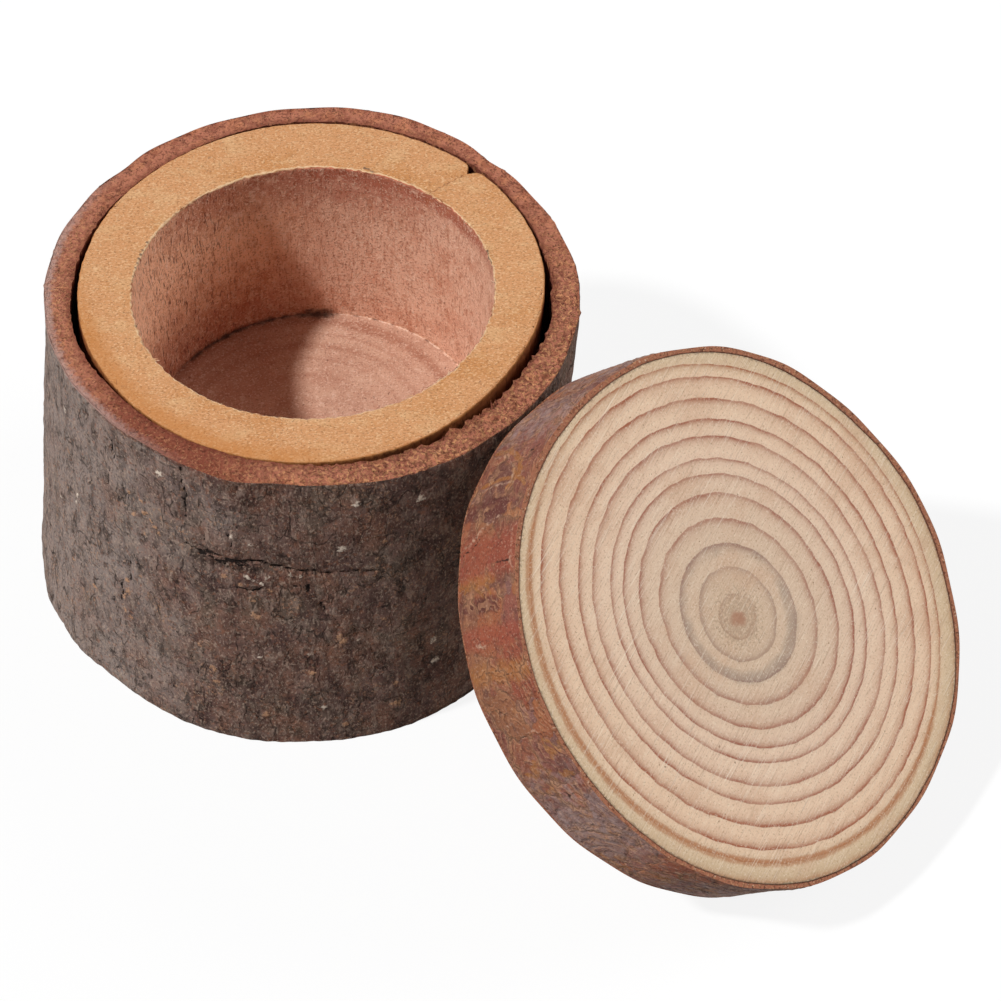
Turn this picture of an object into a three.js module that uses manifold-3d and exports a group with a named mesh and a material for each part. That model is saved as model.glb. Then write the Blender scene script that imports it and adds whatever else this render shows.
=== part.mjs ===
// Small keepsake box made from a length of log with its bark on, and its lid, a slice of a branch.
// The bore is blind, the bark has shrunk loose from the wood, and the lid leans against the box's side.
// Millimetres, +Z up, origin on the ground under the middle of the log's rim, front towards -Y.
import * as THREE from "three";
import { mergeVertices } from "three/addons/utils/BufferGeometryUtils.js";
import Module from "manifold-3d";

// Driving sizes of the log
const boreDiameter = 40;
const boreDepth = 24.5;
const boreForward = 0.8;
const boreBevel = 0.4;
const rimWidth = 6.8;
const logHeight = 44.2;
const sawnBevel = 0.3;
const checkDepth = 1;
const checkWidth = 1.4;

// Driving sizes of the log's bark
const barkThickness = 3.1;
const barkLoosening = 1.2;
const rimWear = 0.5;
const furrowDepth = 0.3;
const grooveDepth = 0.6;

// How the log grew: it leans and widens towards its foot, which is the butt end
const footLean = 3.1;
const footFlare = 1;

// Driving sizes of the lid
const lidThickness = 10.9;
const lidOverhang = 0.7;
const lidBarkThickness = 1;
const lidEdgeWear = 0.2;
const lidRippleDepth = 0.2;
const plugHeight = 4.5;
const plugPlay = 0.5;
const plugBevel = 0.5;

// How the lid leans on the box
const leanTilt = THREE.MathUtils.degToRad(44.7);
const leanTurn = THREE.MathUtils.degToRad(-36.4);
const leanAside = 0.6;

// Clearances: between grown or glued neighbours, between things that only rest, and past a cut
const seam = 0.3;
const restGap = 0.3;
const overrun = 1;

// Facets
const stepsRound = 120;
const barkLevels = 12;
const woodLevels = 5;

// Worked-out sizes
const boreRadius = boreDiameter / 2;
const woodRadius = boreRadius + rimWidth;
const lidRadius = woodRadius + barkThickness + lidOverhang;
const plugRadius = boreRadius - plugPlay;

// Places round the log and the lid, as shares of a turn from +X
const leanFootTurn = 0.5;
const checkTurn = 0.128;
const grooveTurns = [0.126, 0.387, 0.729];
const grooveHalfWidthTurn = 0.006;
const furrowCount = 23;
const furrowWanderTurn = 0.012;
const furrowWandersInHeight = 1.5;
const lidRippleCount = 19;
const lidRippleSlant = 0.5;
const upSlopeTurn = 0.25;

// How steadily the log grows from rim to foot, where 1 is a straight cone, and how far the inner lip of
// the bark is worn beside its outer edge
const growthPower = 1.15;
const lipShare = 0.5;

// Outlines, each entry a share of the size that it follows, a 24th of a turn apart
const woodShares = [
  0.998, 1, 0.998, 1, 1, 1.004, 1.006, 1.006, 1, 0.998, 0.998, 0.994,
  0.993, 0.993, 0.99, 0.996, 1.004, 1.01, 1.013, 1.013, 1.004, 0.987, 0.98, 0.99,
];
const footFlareShares = [
  -0.5, -0.3, 0.1, 0.5, 0.6, 0.7, 0.6, 0.6, 0.7, 0.8, 0.9, 0.9,
  0.9, 1, 0.7, 0.35, 0.9, 0.7, 1.4, 1.4, 1.2, 0.9, 0.4, -0.1,
];
const looseShares = [
  0.55, 0.1, 0.02, 0, 0.02, 0.05, 0.05, 0.03, 0, 0.03, 0.12, 0.28,
  0.4, 0.58, 0.45, 0.15, 0.08, 0.05, 0.08, 0.28, 0.5, 0.76, 0.88, 0.92,
];
const barkShares = [
  1.02, 0.94, 0.78, 0.72, 0.82, 0.9, 0.84, 0.82, 0.9, 0.97, 1, 1.06,
  1.03, 0.94, 0.97, 0.97, 0.95, 1.12, 0.88, 0.93, 1.02, 1.07, 1.13, 0.98,
];
const rimWearShares = [
  0.7, 0.3, 0.1, 0, 0, 0, 0, 0, 0, 0.1, 0.2, 0.2,
  0.3, 0.3, 0.3, 0.4, 0.5, 0.7, 0.9, 1, 1, 1, 1, 0.9,
];
const lidShares = [
  0.972, 0.961, 0.971, 0.984, 0.992, 1.005, 1.015, 1.031, 1.035, 1.018, 1.004, 0.984,
  0.972, 0.968, 0.976, 0.991, 1.006, 1.017, 1.019, 1.021, 1.027, 1.018, 1.001, 0.993,
];
const lidBarkShares = [
  1.1, 1.2, 1.2, 1.1, 1, 1, 0.9, 0.85, 0.8, 0.8, 0.8, 0.8,
  0.9, 0.9, 0.9, 0.95, 0.9, 0.85, 0.8, 0.8, 0.9, 1, 1.1, 1.2,
];

// A smooth closed curve through a table of shares, read at a turn from 0 to 1
function closedCurve(shares) {
  const points = shares.map((share) => new THREE.Vector3(share));
  const curve = new THREE.CatmullRomCurve3(points, true, "catmullrom");
  return (turn) => curve.getPoint(THREE.MathUtils.euclideanModulo(turn, 1)).x;
}

const woodShare = closedCurve(woodShares);
const footFlareShare = closedCurve(footFlareShares);
const looseShare = closedCurve(looseShares);
const barkShare = closedCurve(barkShares);
const rimWearShare = closedCurve(rimWearShares);
const lidShare = closedCurve(lidShares);
const lidBarkShare = closedCurve(lidBarkShares);

function angleAt(turn) {
  return 2 * Math.PI * turn;
}

// Distance between two turns the short way round, as a share of a turn
function turnBetween(one, other) {
  return Math.abs(THREE.MathUtils.euclideanModulo(one - other + 0.5, 1) - 0.5);
}

// How far the log has grown out of the rim's outline at a height, from 0 at the rim to 1 at the foot
function growth(height) {
  return Math.pow(Math.max(1 - height / logHeight, 0), growthPower);
}

// Side of the wood under the bark
function woodSide(turn, height) {
  const lean = footLean * Math.cos(angleAt(turn - leanFootTurn));
  const flare = footFlare * footFlareShare(turn);
  return woodRadius * woodShare(turn) + growth(height) * (lean + flare);
}

// Inner face of the bark, which stands off the wood most where it has shrunk loose
function barkInside(turn, height) {
  return woodSide(turn, height) + seam + barkLoosening * Math.max(looseShare(turn), 0);
}

// Shallow furrows up the bark, which wander a little from side to side
function furrow(turn, height) {
  const sway = Math.sin(angleAt((furrowWandersInHeight * height) / logHeight));
  const wave = Math.sin(Math.PI * furrowCount * (turn + furrowWanderTurn * sway));
  return furrowDepth * (1 - Math.abs(wave));
}

// Deeper grooves at the few places where the bark has split, which close towards the foot
function groove(turn, height) {
  const depths = grooveTurns.map((place) => Math.exp(-((turnBetween(turn, place) / grooveHalfWidthTurn) ** 2)));
  return (grooveDepth * Math.max(...depths) * height) / logHeight;
}

// Outer face of the bark
function barkOutside(turn, height) {
  const full = barkInside(turn, height) + barkThickness * barkShare(turn);
  return full - furrow(turn, height) - groove(turn, height);
}

// Outer face of the lid's bark, with the ripples of its scales
function lidOutside(turn, height) {
  const ripple = Math.sin(angleAt(lidRippleCount * turn + (lidRippleSlant * height) / lidThickness));
  return lidRadius * lidShare(turn) + 0.5 * lidRippleDepth * ripple;
}

// Inner face of the lid's bark
function lidBarkInside(turn) {
  return lidRadius * lidShare(turn) - 0.5 * lidRippleDepth - lidBarkThickness * lidBarkShare(turn);
}

// One closed ring of points, where the radius and the height are functions of the turn
function ring(radiusAt, heightAt, centreY = 0) {
  return Array.from({ length: stepsRound }, (unused, step) => {
    const turn = step / stepsRound;
    const radius = radiusAt(turn);
    const x = radius * Math.cos(angleAt(turn));
    const y = centreY + radius * Math.sin(angleAt(turn));
    return new THREE.Vector3(x, y, heightAt(turn));
  });
}

// Skins the rings in order. A solid has both ends filled, and a tube's last ring joins its first.
function loft(rings, isTube) {
  const points = rings.flat();
  const faces = [];
  const bands = isTube ? rings.length : rings.length - 1;
  for (let band = 0; band < bands; band += 1) {
    const lower = band * stepsRound;
    const upper = ((band + 1) % rings.length) * stepsRound;
    for (let step = 0; step < stepsRound; step += 1) {
      const next = (step + 1) % stepsRound;
      faces.push(lower + step, lower + next, upper + next);
      faces.push(lower + step, upper + next, upper + step);
    }
  }
  if (!isTube) {
    const last = (rings.length - 1) * stepsRound;
    const start = points.push(middleOf(rings[0])) - 1;
    const end = points.push(middleOf(rings[rings.length - 1])) - 1;
    for (let step = 0; step < stepsRound; step += 1) {
      const next = (step + 1) % stepsRound;
      faces.push(start, next, step);
      faces.push(end, last + step, last + next);
    }
  }
  const geometry = new THREE.BufferGeometry().setFromPoints(points);
  geometry.setIndex(faces);
  geometry.computeVertexNormals();
  return geometry;
}

function middleOf(points) {
  const sum = points.reduce((total, point) => total.add(point), new THREE.Vector3());
  return sum.divideScalar(points.length);
}

// Heights from low to high in even steps, both ends included
function levels(low, high, count) {
  return Array.from({ length: count + 1 }, (unused, level) => low + ((high - low) * level) / count);
}

const manifold = await Module();
manifold.setup();

function toSolid(geometry) {
  const bare = geometry.clone();
  bare.deleteAttribute("normal");
  bare.deleteAttribute("uv");
  const merged = mergeVertices(bare);
  const vertProperties = new Float32Array(merged.attributes.position.array);
  const triVerts = new Uint32Array(merged.index.array);
  return new manifold.Manifold(new manifold.Mesh({ numProp: 3, vertProperties, triVerts }));
}

function toGeometry(solid) {
  const cut = solid.getMesh();
  const geometry = new THREE.BufferGeometry();
  geometry.setAttribute("position", new THREE.BufferAttribute(cut.vertProperties, 3));
  geometry.setIndex(new THREE.BufferAttribute(cut.triVerts, 1));
  geometry.computeVertexNormals();
  return geometry;
}

function piece(name, geometry, color, roughness) {
  const material = new THREE.MeshStandardMaterial({ color, roughness, metalness: 0 });
  const mesh = new THREE.Mesh(geometry, material);
  mesh.name = name;
  return mesh;
}

// V-shaped wedge that opens the drying check in the wood's side, point inwards
function checkWedge() {
  const tip = woodSide(checkTurn, logHeight) - checkDepth;
  const mouth = tip + checkDepth + overrun;
  const halfMouth = (0.5 * checkWidth * (checkDepth + overrun)) / checkDepth;
  const outline = new THREE.Shape();
  outline.moveTo(tip, 0);
  outline.lineTo(mouth, -halfMouth);
  outline.lineTo(mouth, halfMouth);
  outline.closePath();
  const depth = logHeight + 2 * overrun;
  const wedge = new THREE.ExtrudeGeometry(outline, { depth, bevelEnabled: false });
  wedge.translate(0, 0, -overrun);
  wedge.rotateZ(angleAt(checkTurn));
  return wedge;
}

// The wood: foot, side, sawn rim, and down the blind bore to its floor
function makeLog() {
  const floor = logHeight - boreDepth;
  const flat = (height) => () => height;
  const side = (height) => ring((turn) => woodSide(turn, height), flat(height));
  const drawnIn = (height) => ring((turn) => woodSide(turn, height) - sawnBevel, flat(height));
  const bore = (radius, height) => ring(() => radius, flat(height), -boreForward);
  const rings = [
    drawnIn(0),
    ...levels(sawnBevel, logHeight - sawnBevel, woodLevels).map(side),
    drawnIn(logHeight),
    bore(boreRadius + boreBevel, logHeight),
    bore(boreRadius, logHeight - boreBevel),
    bore(boreRadius, floor),
  ];
  const wood = toSolid(loft(rings, false)).subtract(toSolid(checkWedge()));
  return piece("box_log", toGeometry(wood), 0xd3a36c, 0.7);
}

// The bark shell: up the furrowed outside, across the worn rim, and down the inside
function makeBark() {
  const flat = (height) => () => height;
  const worn = (turn) => logHeight - sawnBevel - rimWear * Math.max(rimWearShare(turn), 0);
  const lip = (turn) => logHeight - lipShare * rimWear * Math.max(rimWearShare(turn), 0);
  const outer = (height) => ring((turn) => barkOutside(turn, height), flat(height));
  const inner = (height) => ring((turn) => barkInside(turn, height), flat(height));
  const topmost = logHeight - sawnBevel - rimWear;
  const rings = [
    ring((turn) => barkOutside(turn, 0) - sawnBevel, flat(0)),
    ...levels(sawnBevel, topmost - sawnBevel, barkLevels).map(outer),
    ring((turn) => barkOutside(turn, logHeight), worn),
    ring((turn) => barkOutside(turn, logHeight) - sawnBevel, (turn) => worn(turn) + 0.5 * sawnBevel),
    ring((turn) => barkInside(turn, logHeight), lip),
    ...levels(0, topmost, woodLevels).reverse().map(inner),
  ];
  return piece("box_bark", loft(rings, true), 0x5d4a42, 0.9);
}

// The lid's wood, a plain sawn disc with its underside at local height 0
function makeSlice() {
  const flat = (height) => () => height;
  const side = (turn) => lidBarkInside(turn) - seam;
  const rings = [ring(side, flat(0)), ring(side, flat(lidThickness))];
  return piece("lid_slice", loft(rings, false), 0xd9bf9e, 0.75);
}

// The lid's bark, a thin ring whose sawn edges are worn back
function makeLidBark() {
  const flat = (height) => () => height;
  const outer = (height) => ring((turn) => lidOutside(turn, height), flat(height));
  const drawnIn = (height) => ring((turn) => lidOutside(turn, height) - lidEdgeWear, flat(height));
  const rings = [
    drawnIn(0),
    ...levels(lidEdgeWear, lidThickness - lidEdgeWear, woodLevels).map(outer),
    drawnIn(lidThickness),
    ring(lidBarkInside, flat(lidThickness)),
    ring(lidBarkInside, flat(0)),
  ];
  return piece("lid_bark", loft(rings, true), 0x8c4f3a, 0.85);
}

// The locating disc under the lid, with its lower edge bevelled so that it finds the bore
function makePlug() {
  const bottom = -seam - plugHeight;
  const profile = [
    new THREE.Vector2(0, bottom),
    new THREE.Vector2(plugRadius - plugBevel, bottom),
    new THREE.Vector2(plugRadius, bottom + plugBevel),
    new THREE.Vector2(plugRadius, -seam),
    new THREE.Vector2(0, -seam),
  ];
  const disc = new THREE.LatheGeometry(profile, stepsRound).rotateX(Math.PI / 2);
  return piece("lid_plug", disc, 0xcfae82, 0.7);
}

// Height of the middle of the lid's underside above the ground when its lowest edge rests there
function lidRise() {
  const downSlope = (turn) => -lidOutside(turn, lidEdgeWear) * Math.sin(angleAt(turn));
  const lowest = Math.max(...levels(0, 1, stepsRound).map(downSlope));
  return lowest * Math.sin(leanTilt) - lidEdgeWear * Math.cos(leanTilt);
}

// Distance out from the log's axis at which the lid's underside meets the bark with its gap.
// Only bark that is no higher than the lid's upper edge can touch it.
function lidReach(rise) {
  const upperEdge = rise + lidRadius * lidShare(upSlopeTurn) * Math.sin(leanTilt);
  const highest = Math.min(upperEdge, logHeight - sawnBevel - lipShare * rimWear);
  const needed = levels(0, highest, stepsRound).flatMap((height) =>
    levels(0, 1, stepsRound).map((turn) => {
      const along = barkOutside(turn, height) * Math.cos(angleAt(turn) - leanTurn);
      return along + ((height - rise) * Math.cos(leanTilt) + restGap) / Math.sin(leanTilt);
    }),
  );
  return Math.max(...needed);
}

// The lid as one group, tilted with its face up and turned to the side of the box that it leans on
function makeLid() {
  const lid = new THREE.Group();
  lid.add(makeSlice(), makeLidBark(), makePlug());
  const rise = lidRise();
  const reach = lidReach(rise);
  lid.rotation.set(leanTilt, 0, leanTurn + Math.PI / 2, "ZXY");
  const x = reach * Math.cos(leanTurn) + leanAside * Math.sin(leanTurn);
  const y = reach * Math.sin(leanTurn) - leanAside * Math.cos(leanTurn);
  lid.position.set(x, y, rise);
  return lid;
}

const box = new THREE.Group();
box.add(makeLog(), makeBark(), makeLid());

export default box;
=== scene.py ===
"""Looks of a small keepsake box made from a log, with its bark on, and of its slice lid.

Every piece starts as a blank turned on an axis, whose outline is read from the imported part. The blank is
then grown to the natural outline and carved. Lengths are millimetres until a piece is finished.
"""

import logging
import math
import random
from collections.abc import Callable, Iterable, Sequence
from dataclasses import dataclass, field
from enum import Enum
from types import SimpleNamespace

import bmesh
import bpy
from bmesh.types import BMEdge, BMesh, BMFace, BMLayerItem, BMVert
from bpy.types import NodeSocket
from mathutils import Matrix, Vector, kdtree, noise
from mathutils.bvhtree import BVHTree

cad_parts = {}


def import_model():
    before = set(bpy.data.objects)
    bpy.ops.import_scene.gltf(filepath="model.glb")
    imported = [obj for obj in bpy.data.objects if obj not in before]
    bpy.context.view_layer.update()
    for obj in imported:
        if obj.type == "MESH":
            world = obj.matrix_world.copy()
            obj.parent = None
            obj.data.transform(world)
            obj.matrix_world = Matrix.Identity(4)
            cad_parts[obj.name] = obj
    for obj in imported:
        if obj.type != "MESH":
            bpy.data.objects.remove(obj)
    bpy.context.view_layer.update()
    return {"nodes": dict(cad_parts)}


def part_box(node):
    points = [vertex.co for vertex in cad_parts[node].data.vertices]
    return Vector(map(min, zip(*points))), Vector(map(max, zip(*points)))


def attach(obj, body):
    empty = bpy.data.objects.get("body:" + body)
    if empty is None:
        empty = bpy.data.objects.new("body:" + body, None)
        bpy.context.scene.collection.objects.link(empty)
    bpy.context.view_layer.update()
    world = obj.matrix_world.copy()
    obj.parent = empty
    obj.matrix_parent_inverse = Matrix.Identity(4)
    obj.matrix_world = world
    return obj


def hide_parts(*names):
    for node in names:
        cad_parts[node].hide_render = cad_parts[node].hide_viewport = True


logger = logging.getLogger("log_box")

Pair = tuple[float, float]
Triple = tuple[float, float, float]

# One millimetre in metres, a full turn and the steps that it is read in, a length that is as good as none,
# one beyond every piece, and the size of the grain in each surface's roughness, all three in millimetres.
MM = 0.001
TURN = 2 * math.pi
TURN_STEPS = 360
TINY = 0.0001
FAR = 200.0
ROUGHNESS_GRAIN = 0.5
UP = Vector((0, 0, 1))
WHITE = (1.0, 1.0, 1.0, 1.0)

# Numbers of the sockets that the Mix node uses for colours.
MIX_FACTOR = 0
MIX_UNDER = 6
MIX_OVER = 7
MIX_RESULT = 2

# Names of the numbers that vertices carry. The materials read them.
PLACE = "place"
SPLIT_AND_PAINTED_SHADOW = "split"
PALE = "pale"
OCHRE_AND_PAINTED_LIGHT = "ochre"
BLOOM = "bloom"
RUST_AND_PAINTED_SHADE = "rust"
ACROSS = "across"
STAIN_AND_PAINTED_SHADE = "stain"
RING = "ring"
FLAKE = "flake"
EDGE = "edge"
GRIT = "grit"
FIBRE = "fibre"
CORE = "core"


class Pattern(Enum):
    """What a coat's pattern looks like."""

    CLOUD = "cloud"
    CELLS = "cells"
    VEINS = "veins"


class LogZone(Enum):
    """Surfaces of the log's wood, in the order of its material slots."""

    SAWN = 0
    SIDE = 1
    WALL = 2
    FLOOR = 3


class BarkZone(Enum):
    """Surfaces of a bark shell, in the order of its material slots."""

    OUTSIDE = 0
    CUT = 1
    INSIDE = 2


def linear(code: str) -> tuple[float, float, float, float]:
    """Turns an sRGB hex colour to a linear one.

    Args:
        code: six hex digits after a hash sign.

    Returns:
        The linear red, green and blue, and full alpha.
    """
    shares = [int(code[i : i + 2], 16) / 255 for i in (1, 3, 5)]
    red, green, blue = (s / 12.92 if s <= 0.04045 else ((s + 0.055) / 1.055) ** 2.4 for s in shares)
    return red, green, blue, 1.0


def smooth_step(low: float, high: float, value: float) -> float:
    """Rises smoothly from 0 at low to 1 at high."""
    share = min(max((value - low) / (high - low), 0.0), 1.0)
    return share * share * (3 - 2 * share)


def steps_between(start: Pair, end: Pair, count: int) -> list[Pair]:
    """Even steps from one pair of numbers to another."""
    return [tuple(a + (b - a) * step / (count - 1) for a, b in zip(start, end)) for step in range(count)]


def bell(distance: float, width: float) -> float:
    """Bell curve, 1 at no distance and a third at the width."""
    return math.exp(-((distance / width) ** 2))


def degrees_between(one: float, other: float) -> float:
    """Shortest way between two directions, in degrees."""
    return abs((one - other + 180) % 360 - 180)


def bell_at(azimuth: float, middle: float, width: float) -> float:
    """Bell curve round the turn, 1 in the middle direction, all in degrees."""
    return bell(degrees_between(azimuth, middle), width)


def step_at(azimuth: float, middle: float, far: float, near: float) -> float:
    """Rises from 0 where a direction is far from the middle one to 1 where it is near, all in degrees."""
    return smooth_step(far, near, degrees_between(azimuth, middle))


def facing(angle: float) -> Vector:
    """Level unit direction at an angle in radians."""
    return Vector((math.cos(angle), math.sin(angle), 0))


def polar(radius: float, azimuth: float, height: float, forward: float = 0.0) -> Vector:
    """Place round the axis, from an azimuth in degrees, moved forward by some millimetres."""
    angle = math.radians(azimuth)
    return Vector((radius * math.cos(angle), radius * math.sin(angle) - forward, height))


def polar_of(spot: Vector) -> tuple[float, float, float, Vector]:
    """Radius, angle in radians, azimuth in degrees and level direction of a place."""
    angle = math.atan2(spot.y, spot.x)
    return math.hypot(spot.x, spot.y), angle, math.degrees(angle) % 360, facing(angle)


def cloud(spot: Vector, size: float, seed: float = 0.0, long: Triple = (1, 1, 1)) -> float:
    """Smooth noise from -1 to 1.

    Args:
        spot: place in millimetres.
        size: size of the noise's features.
        seed: shifts the noise, so that two uses differ.
        long: how many times longer the features are along each axis.

    Returns:
        The noise's value there.
    """
    return noise.noise(Vector([spot[i] / (size * long[i]) + seed for i in range(3)]))


class Nodes:
    """The nodes of a material or of the world."""

    def __init__(self, owner: bpy.types.Material | bpy.types.World) -> None:
        """Clears the owner's nodes.

        Args:
            owner: the material or the world.
        """
        owner.use_nodes = True
        self.tree = owner.node_tree
        self.tree.nodes.clear()

    def add(
        self, kind: str, inputs: dict | tuple = (), output: int | str = 0, **settings
    ) -> NodeSocket | None:
        """Adds a node with its settings, links and values.

        Args:
            kind: the node's class name, less the word it starts with.
            inputs: sockets to link or values to set, by the inputs' names or numbers, or in their order.
            output: which of the node's outputs is wanted.
            settings: the node's own properties, and stops for a colour ramp.

        Returns:
            That output, or None where the node has none.
        """
        node = self.tree.nodes.new("ShaderNode" + kind)
        stops = settings.pop("stops", ())
        for name, value in settings.items():
            setattr(node, name, value)
        for socket, value in inputs.items() if isinstance(inputs, dict) else enumerate(inputs):
            if isinstance(value, NodeSocket):
                self.tree.links.new(value, node.inputs[socket])
            else:
                node.inputs[socket].default_value = value
        for index, (position, tone) in enumerate(stops):
            elements = node.color_ramp.elements
            element = elements[index] if index < 2 else elements.new(position)
            element.position = position
            element.color = linear(tone) if isinstance(tone, str) else (tone, tone, tone, 1.0)
        return node.outputs[output] if node.outputs else None


@dataclass(frozen=True)
class Coat:
    """A coat of colour, laid where its pattern is strong.

    The pattern runs from 0 to 1. A cloud's middle is near 0.5, while the lines between cells and veins are
    strongest near 1. A vertex mark may pull the pattern up. low and high are the values at which the coat
    starts to show and is at its full strength. broken is the level of a coarser cloud under which it is left
    out.
    """

    colour: str
    grain_mm: float
    low: float
    high: float
    strength: float = 1.0
    detail: float = 2.0
    long: Triple = (1, 1, 1)
    pattern: Pattern = Pattern.CLOUD
    mark: str = ""
    spread: float = 1.0
    within: str = ""
    rise_mm: float = 0.0
    warp: float = 0.0
    broken: float = 0.0
    island_mm: float = 4.0
    turn_degrees: float = 0.0

    def value(self, nodes: Nodes, place: NodeSocket, index: int) -> NodeSocket:
        """Builds the pattern.

        Args:
            nodes: the material's nodes.
            place: the surface's place in millimetres.
            index: the coat's number, which shifts its pattern away from the others'.

        Returns:
            How strongly the coat lies, from 0 to its strength.
        """
        spot = nodes.add("Mapping", {
            "Vector": place, "Scale": [self.grain_mm * length for length in self.long],
            "Rotation": (0, 0, math.radians(self.turn_degrees)),
            "Location": (index * 17.3, index * 5.1, index * 9.7),
        }, vector_type="TEXTURE")
        if self.pattern is Pattern.CELLS:
            shift = nodes.add("TexNoise", {"Vector": spot, "Scale": 1.3, "Detail": 3.0}, "Color")
            spot = nodes.add("VectorMath", (shift, (self.warp,) * 3, spot), operation="MULTIPLY_ADD")
            inputs = {"Vector": spot, "Scale": 1.0}
            value = nodes.add("TexVoronoi", inputs, "Distance", feature="DISTANCE_TO_EDGE")
            value = nodes.add("Math", (1.0, value), operation="SUBTRACT")
        else:
            inputs = {"Vector": spot, "Scale": 1.0, "Detail": self.detail, "Roughness": 0.6}
            value = nodes.add("TexNoise", inputs)
        if self.pattern is Pattern.VEINS:
            away = nodes.add("Math", (value, 0.5), operation="SUBTRACT")
            away = nodes.add("Math", (away,), operation="ABSOLUTE")
            value = nodes.add("Math", (away, -2.0, 1.0), operation="MULTIPLY_ADD")
        if self.mark:
            mark = nodes.add("Attribute", output="Fac", attribute_name=self.mark)
            value = nodes.add("Math", (value, self.spread, mark), operation="MULTIPLY_ADD")
        levels = (value, self.low, self.high, 0.0, self.strength)
        lain = nodes.add("MapRange", levels, interpolation_type="SMOOTHSTEP")
        if self.broken:
            islands = nodes.add("TexNoise", {"Vector": place, "Scale": 1 / self.island_mm, "Detail": 2.0})
            islands = nodes.add("MapRange", (islands, self.broken, self.broken + 0.08))
            lain = nodes.add("Math", (lain, islands), operation="MULTIPLY")
        if self.within:
            within = nodes.add("Attribute", output="Fac", attribute_name=self.within)
            lain = nodes.add("Math", (lain, within), operation="MULTIPLY", use_clamp=True)
        return lain


@dataclass(frozen=True)
class Finish:
    """A surface's finish: a ground colour and the coats over it."""

    name: str
    ground: str
    coats: tuple[Coat, ...]
    roughness: Pair = (0.65, 0.9)
    gloss: float = 0.25

    def ground_layer(self, nodes: Nodes, place: NodeSocket) -> tuple[NodeSocket | tuple, NodeSocket | float]:
        """Returns the colour and the height in millimetres that the coats start from."""
        return linear(self.ground), 0.0

    def last_layer(
        self, nodes: Nodes, place: NodeSocket, colour: NodeSocket, height: NodeSocket | float
    ) -> tuple[NodeSocket, NodeSocket | float]:
        """Returns the colour and the height that are left after the coats."""
        return colour, height

    def material(self) -> bpy.types.Material:
        """Builds the material.

        Returns:
            The finished material.
        """
        material = bpy.data.materials.new(self.name)
        nodes = Nodes(material)
        place = nodes.add("Attribute", output="Vector", attribute_name=PLACE)
        colour, height = self.ground_layer(nodes, place)
        for index, coat in enumerate(self.coats, 1):
            lain = coat.value(nodes, place, index)
            layers = {MIX_FACTOR: lain, MIX_UNDER: colour, MIX_OVER: linear(coat.colour)}
            colour = nodes.add("Mix", layers, MIX_RESULT, data_type="RGBA")
            if coat.rise_mm:
                height = nodes.add("Math", (lain, coat.rise_mm, height), operation="MULTIPLY_ADD")
        colour, height = self.last_layer(nodes, place, colour, height)
        rough = nodes.add("TexNoise", {"Vector": place, "Scale": 1 / ROUGHNESS_GRAIN, "Detail": 2.0})
        rough = nodes.add("MapRange", (rough, 0.3, 0.7, *self.roughness))
        bump = nodes.add("Bump", {"Strength": 1.0, "Distance": MM, "Height": height})
        surface = {"Base Color": colour, "Roughness": rough, "Normal": bump, "Specular IOR Level": self.gloss}
        nodes.add("OutputMaterial", {"Surface": nodes.add("BsdfPrincipled", surface)})
        return material


@dataclass(frozen=True)
class RingedFinish(Finish):
    """Sawn end grain with growth rings, read from the ring number that each vertex carries."""

    tones: tuple[tuple[float, str], ...] = ()
    late_tones: tuple[tuple[float, str], ...] = ()
    late_strengths: tuple[Pair, ...] = ()
    ring_count: float = 13.0
    wobble: float = 0.12
    growth: tuple[Pair, ...] = (
        (0.0, 0.6), (0.03, 0.05), (0.38, 0.0), (0.68, 0.2), (0.86, 0.6), (0.93, 0.95), (1.0, 1.0)
    )

    def ground_layer(self, nodes: Nodes, place: NodeSocket) -> tuple[NodeSocket, NodeSocket]:
        """Draws early wood, which darkens to the late wood at each ring's outer edge.

        Args:
            nodes: the material's nodes.
            place: the surface's place in millimetres.

        Returns:
            The rings' colour, and their height in millimetres.
        """
        number = nodes.add("Attribute", output="Fac", attribute_name=RING)
        sway = nodes.add("TexNoise", {"Vector": place, "Scale": 0.45, "Detail": 3.0})
        number = nodes.add("Math", (sway, self.wobble * 2, number), operation="MULTIPLY_ADD")
        number = nodes.add("Math", (number, self.wobble), operation="SUBTRACT")
        share = nodes.add("Math", (number, self.ring_count), operation="DIVIDE", use_clamp=True)
        phase = nodes.add("Math", (number,), operation="FRACT")
        late = nodes.add("ValToRGB", (phase,), stops=self.growth)
        strength = nodes.add("ValToRGB", (share,), stops=self.late_strengths)
        late = nodes.add("Math", (late, strength), operation="MULTIPLY")
        patchy = nodes.add("TexNoise", {"Vector": place, "Scale": 0.16, "Detail": 2.0})
        patchy = nodes.add("MapRange", (patchy, 0.35, 0.65, 0.75, 1.15))
        late = nodes.add("Math", (late, patchy), operation="MULTIPLY", use_clamp=True)
        early_tone = nodes.add("ValToRGB", (share,), stops=self.tones)
        late_tone = nodes.add("ValToRGB", (share,), stops=self.late_tones)
        layers = {MIX_FACTOR: late, MIX_UNDER: early_tone, MIX_OVER: late_tone}
        colour = nodes.add("Mix", layers, MIX_RESULT, data_type="RGBA")
        return colour, nodes.add("Math", (late, 0.02), operation="MULTIPLY")


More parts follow.
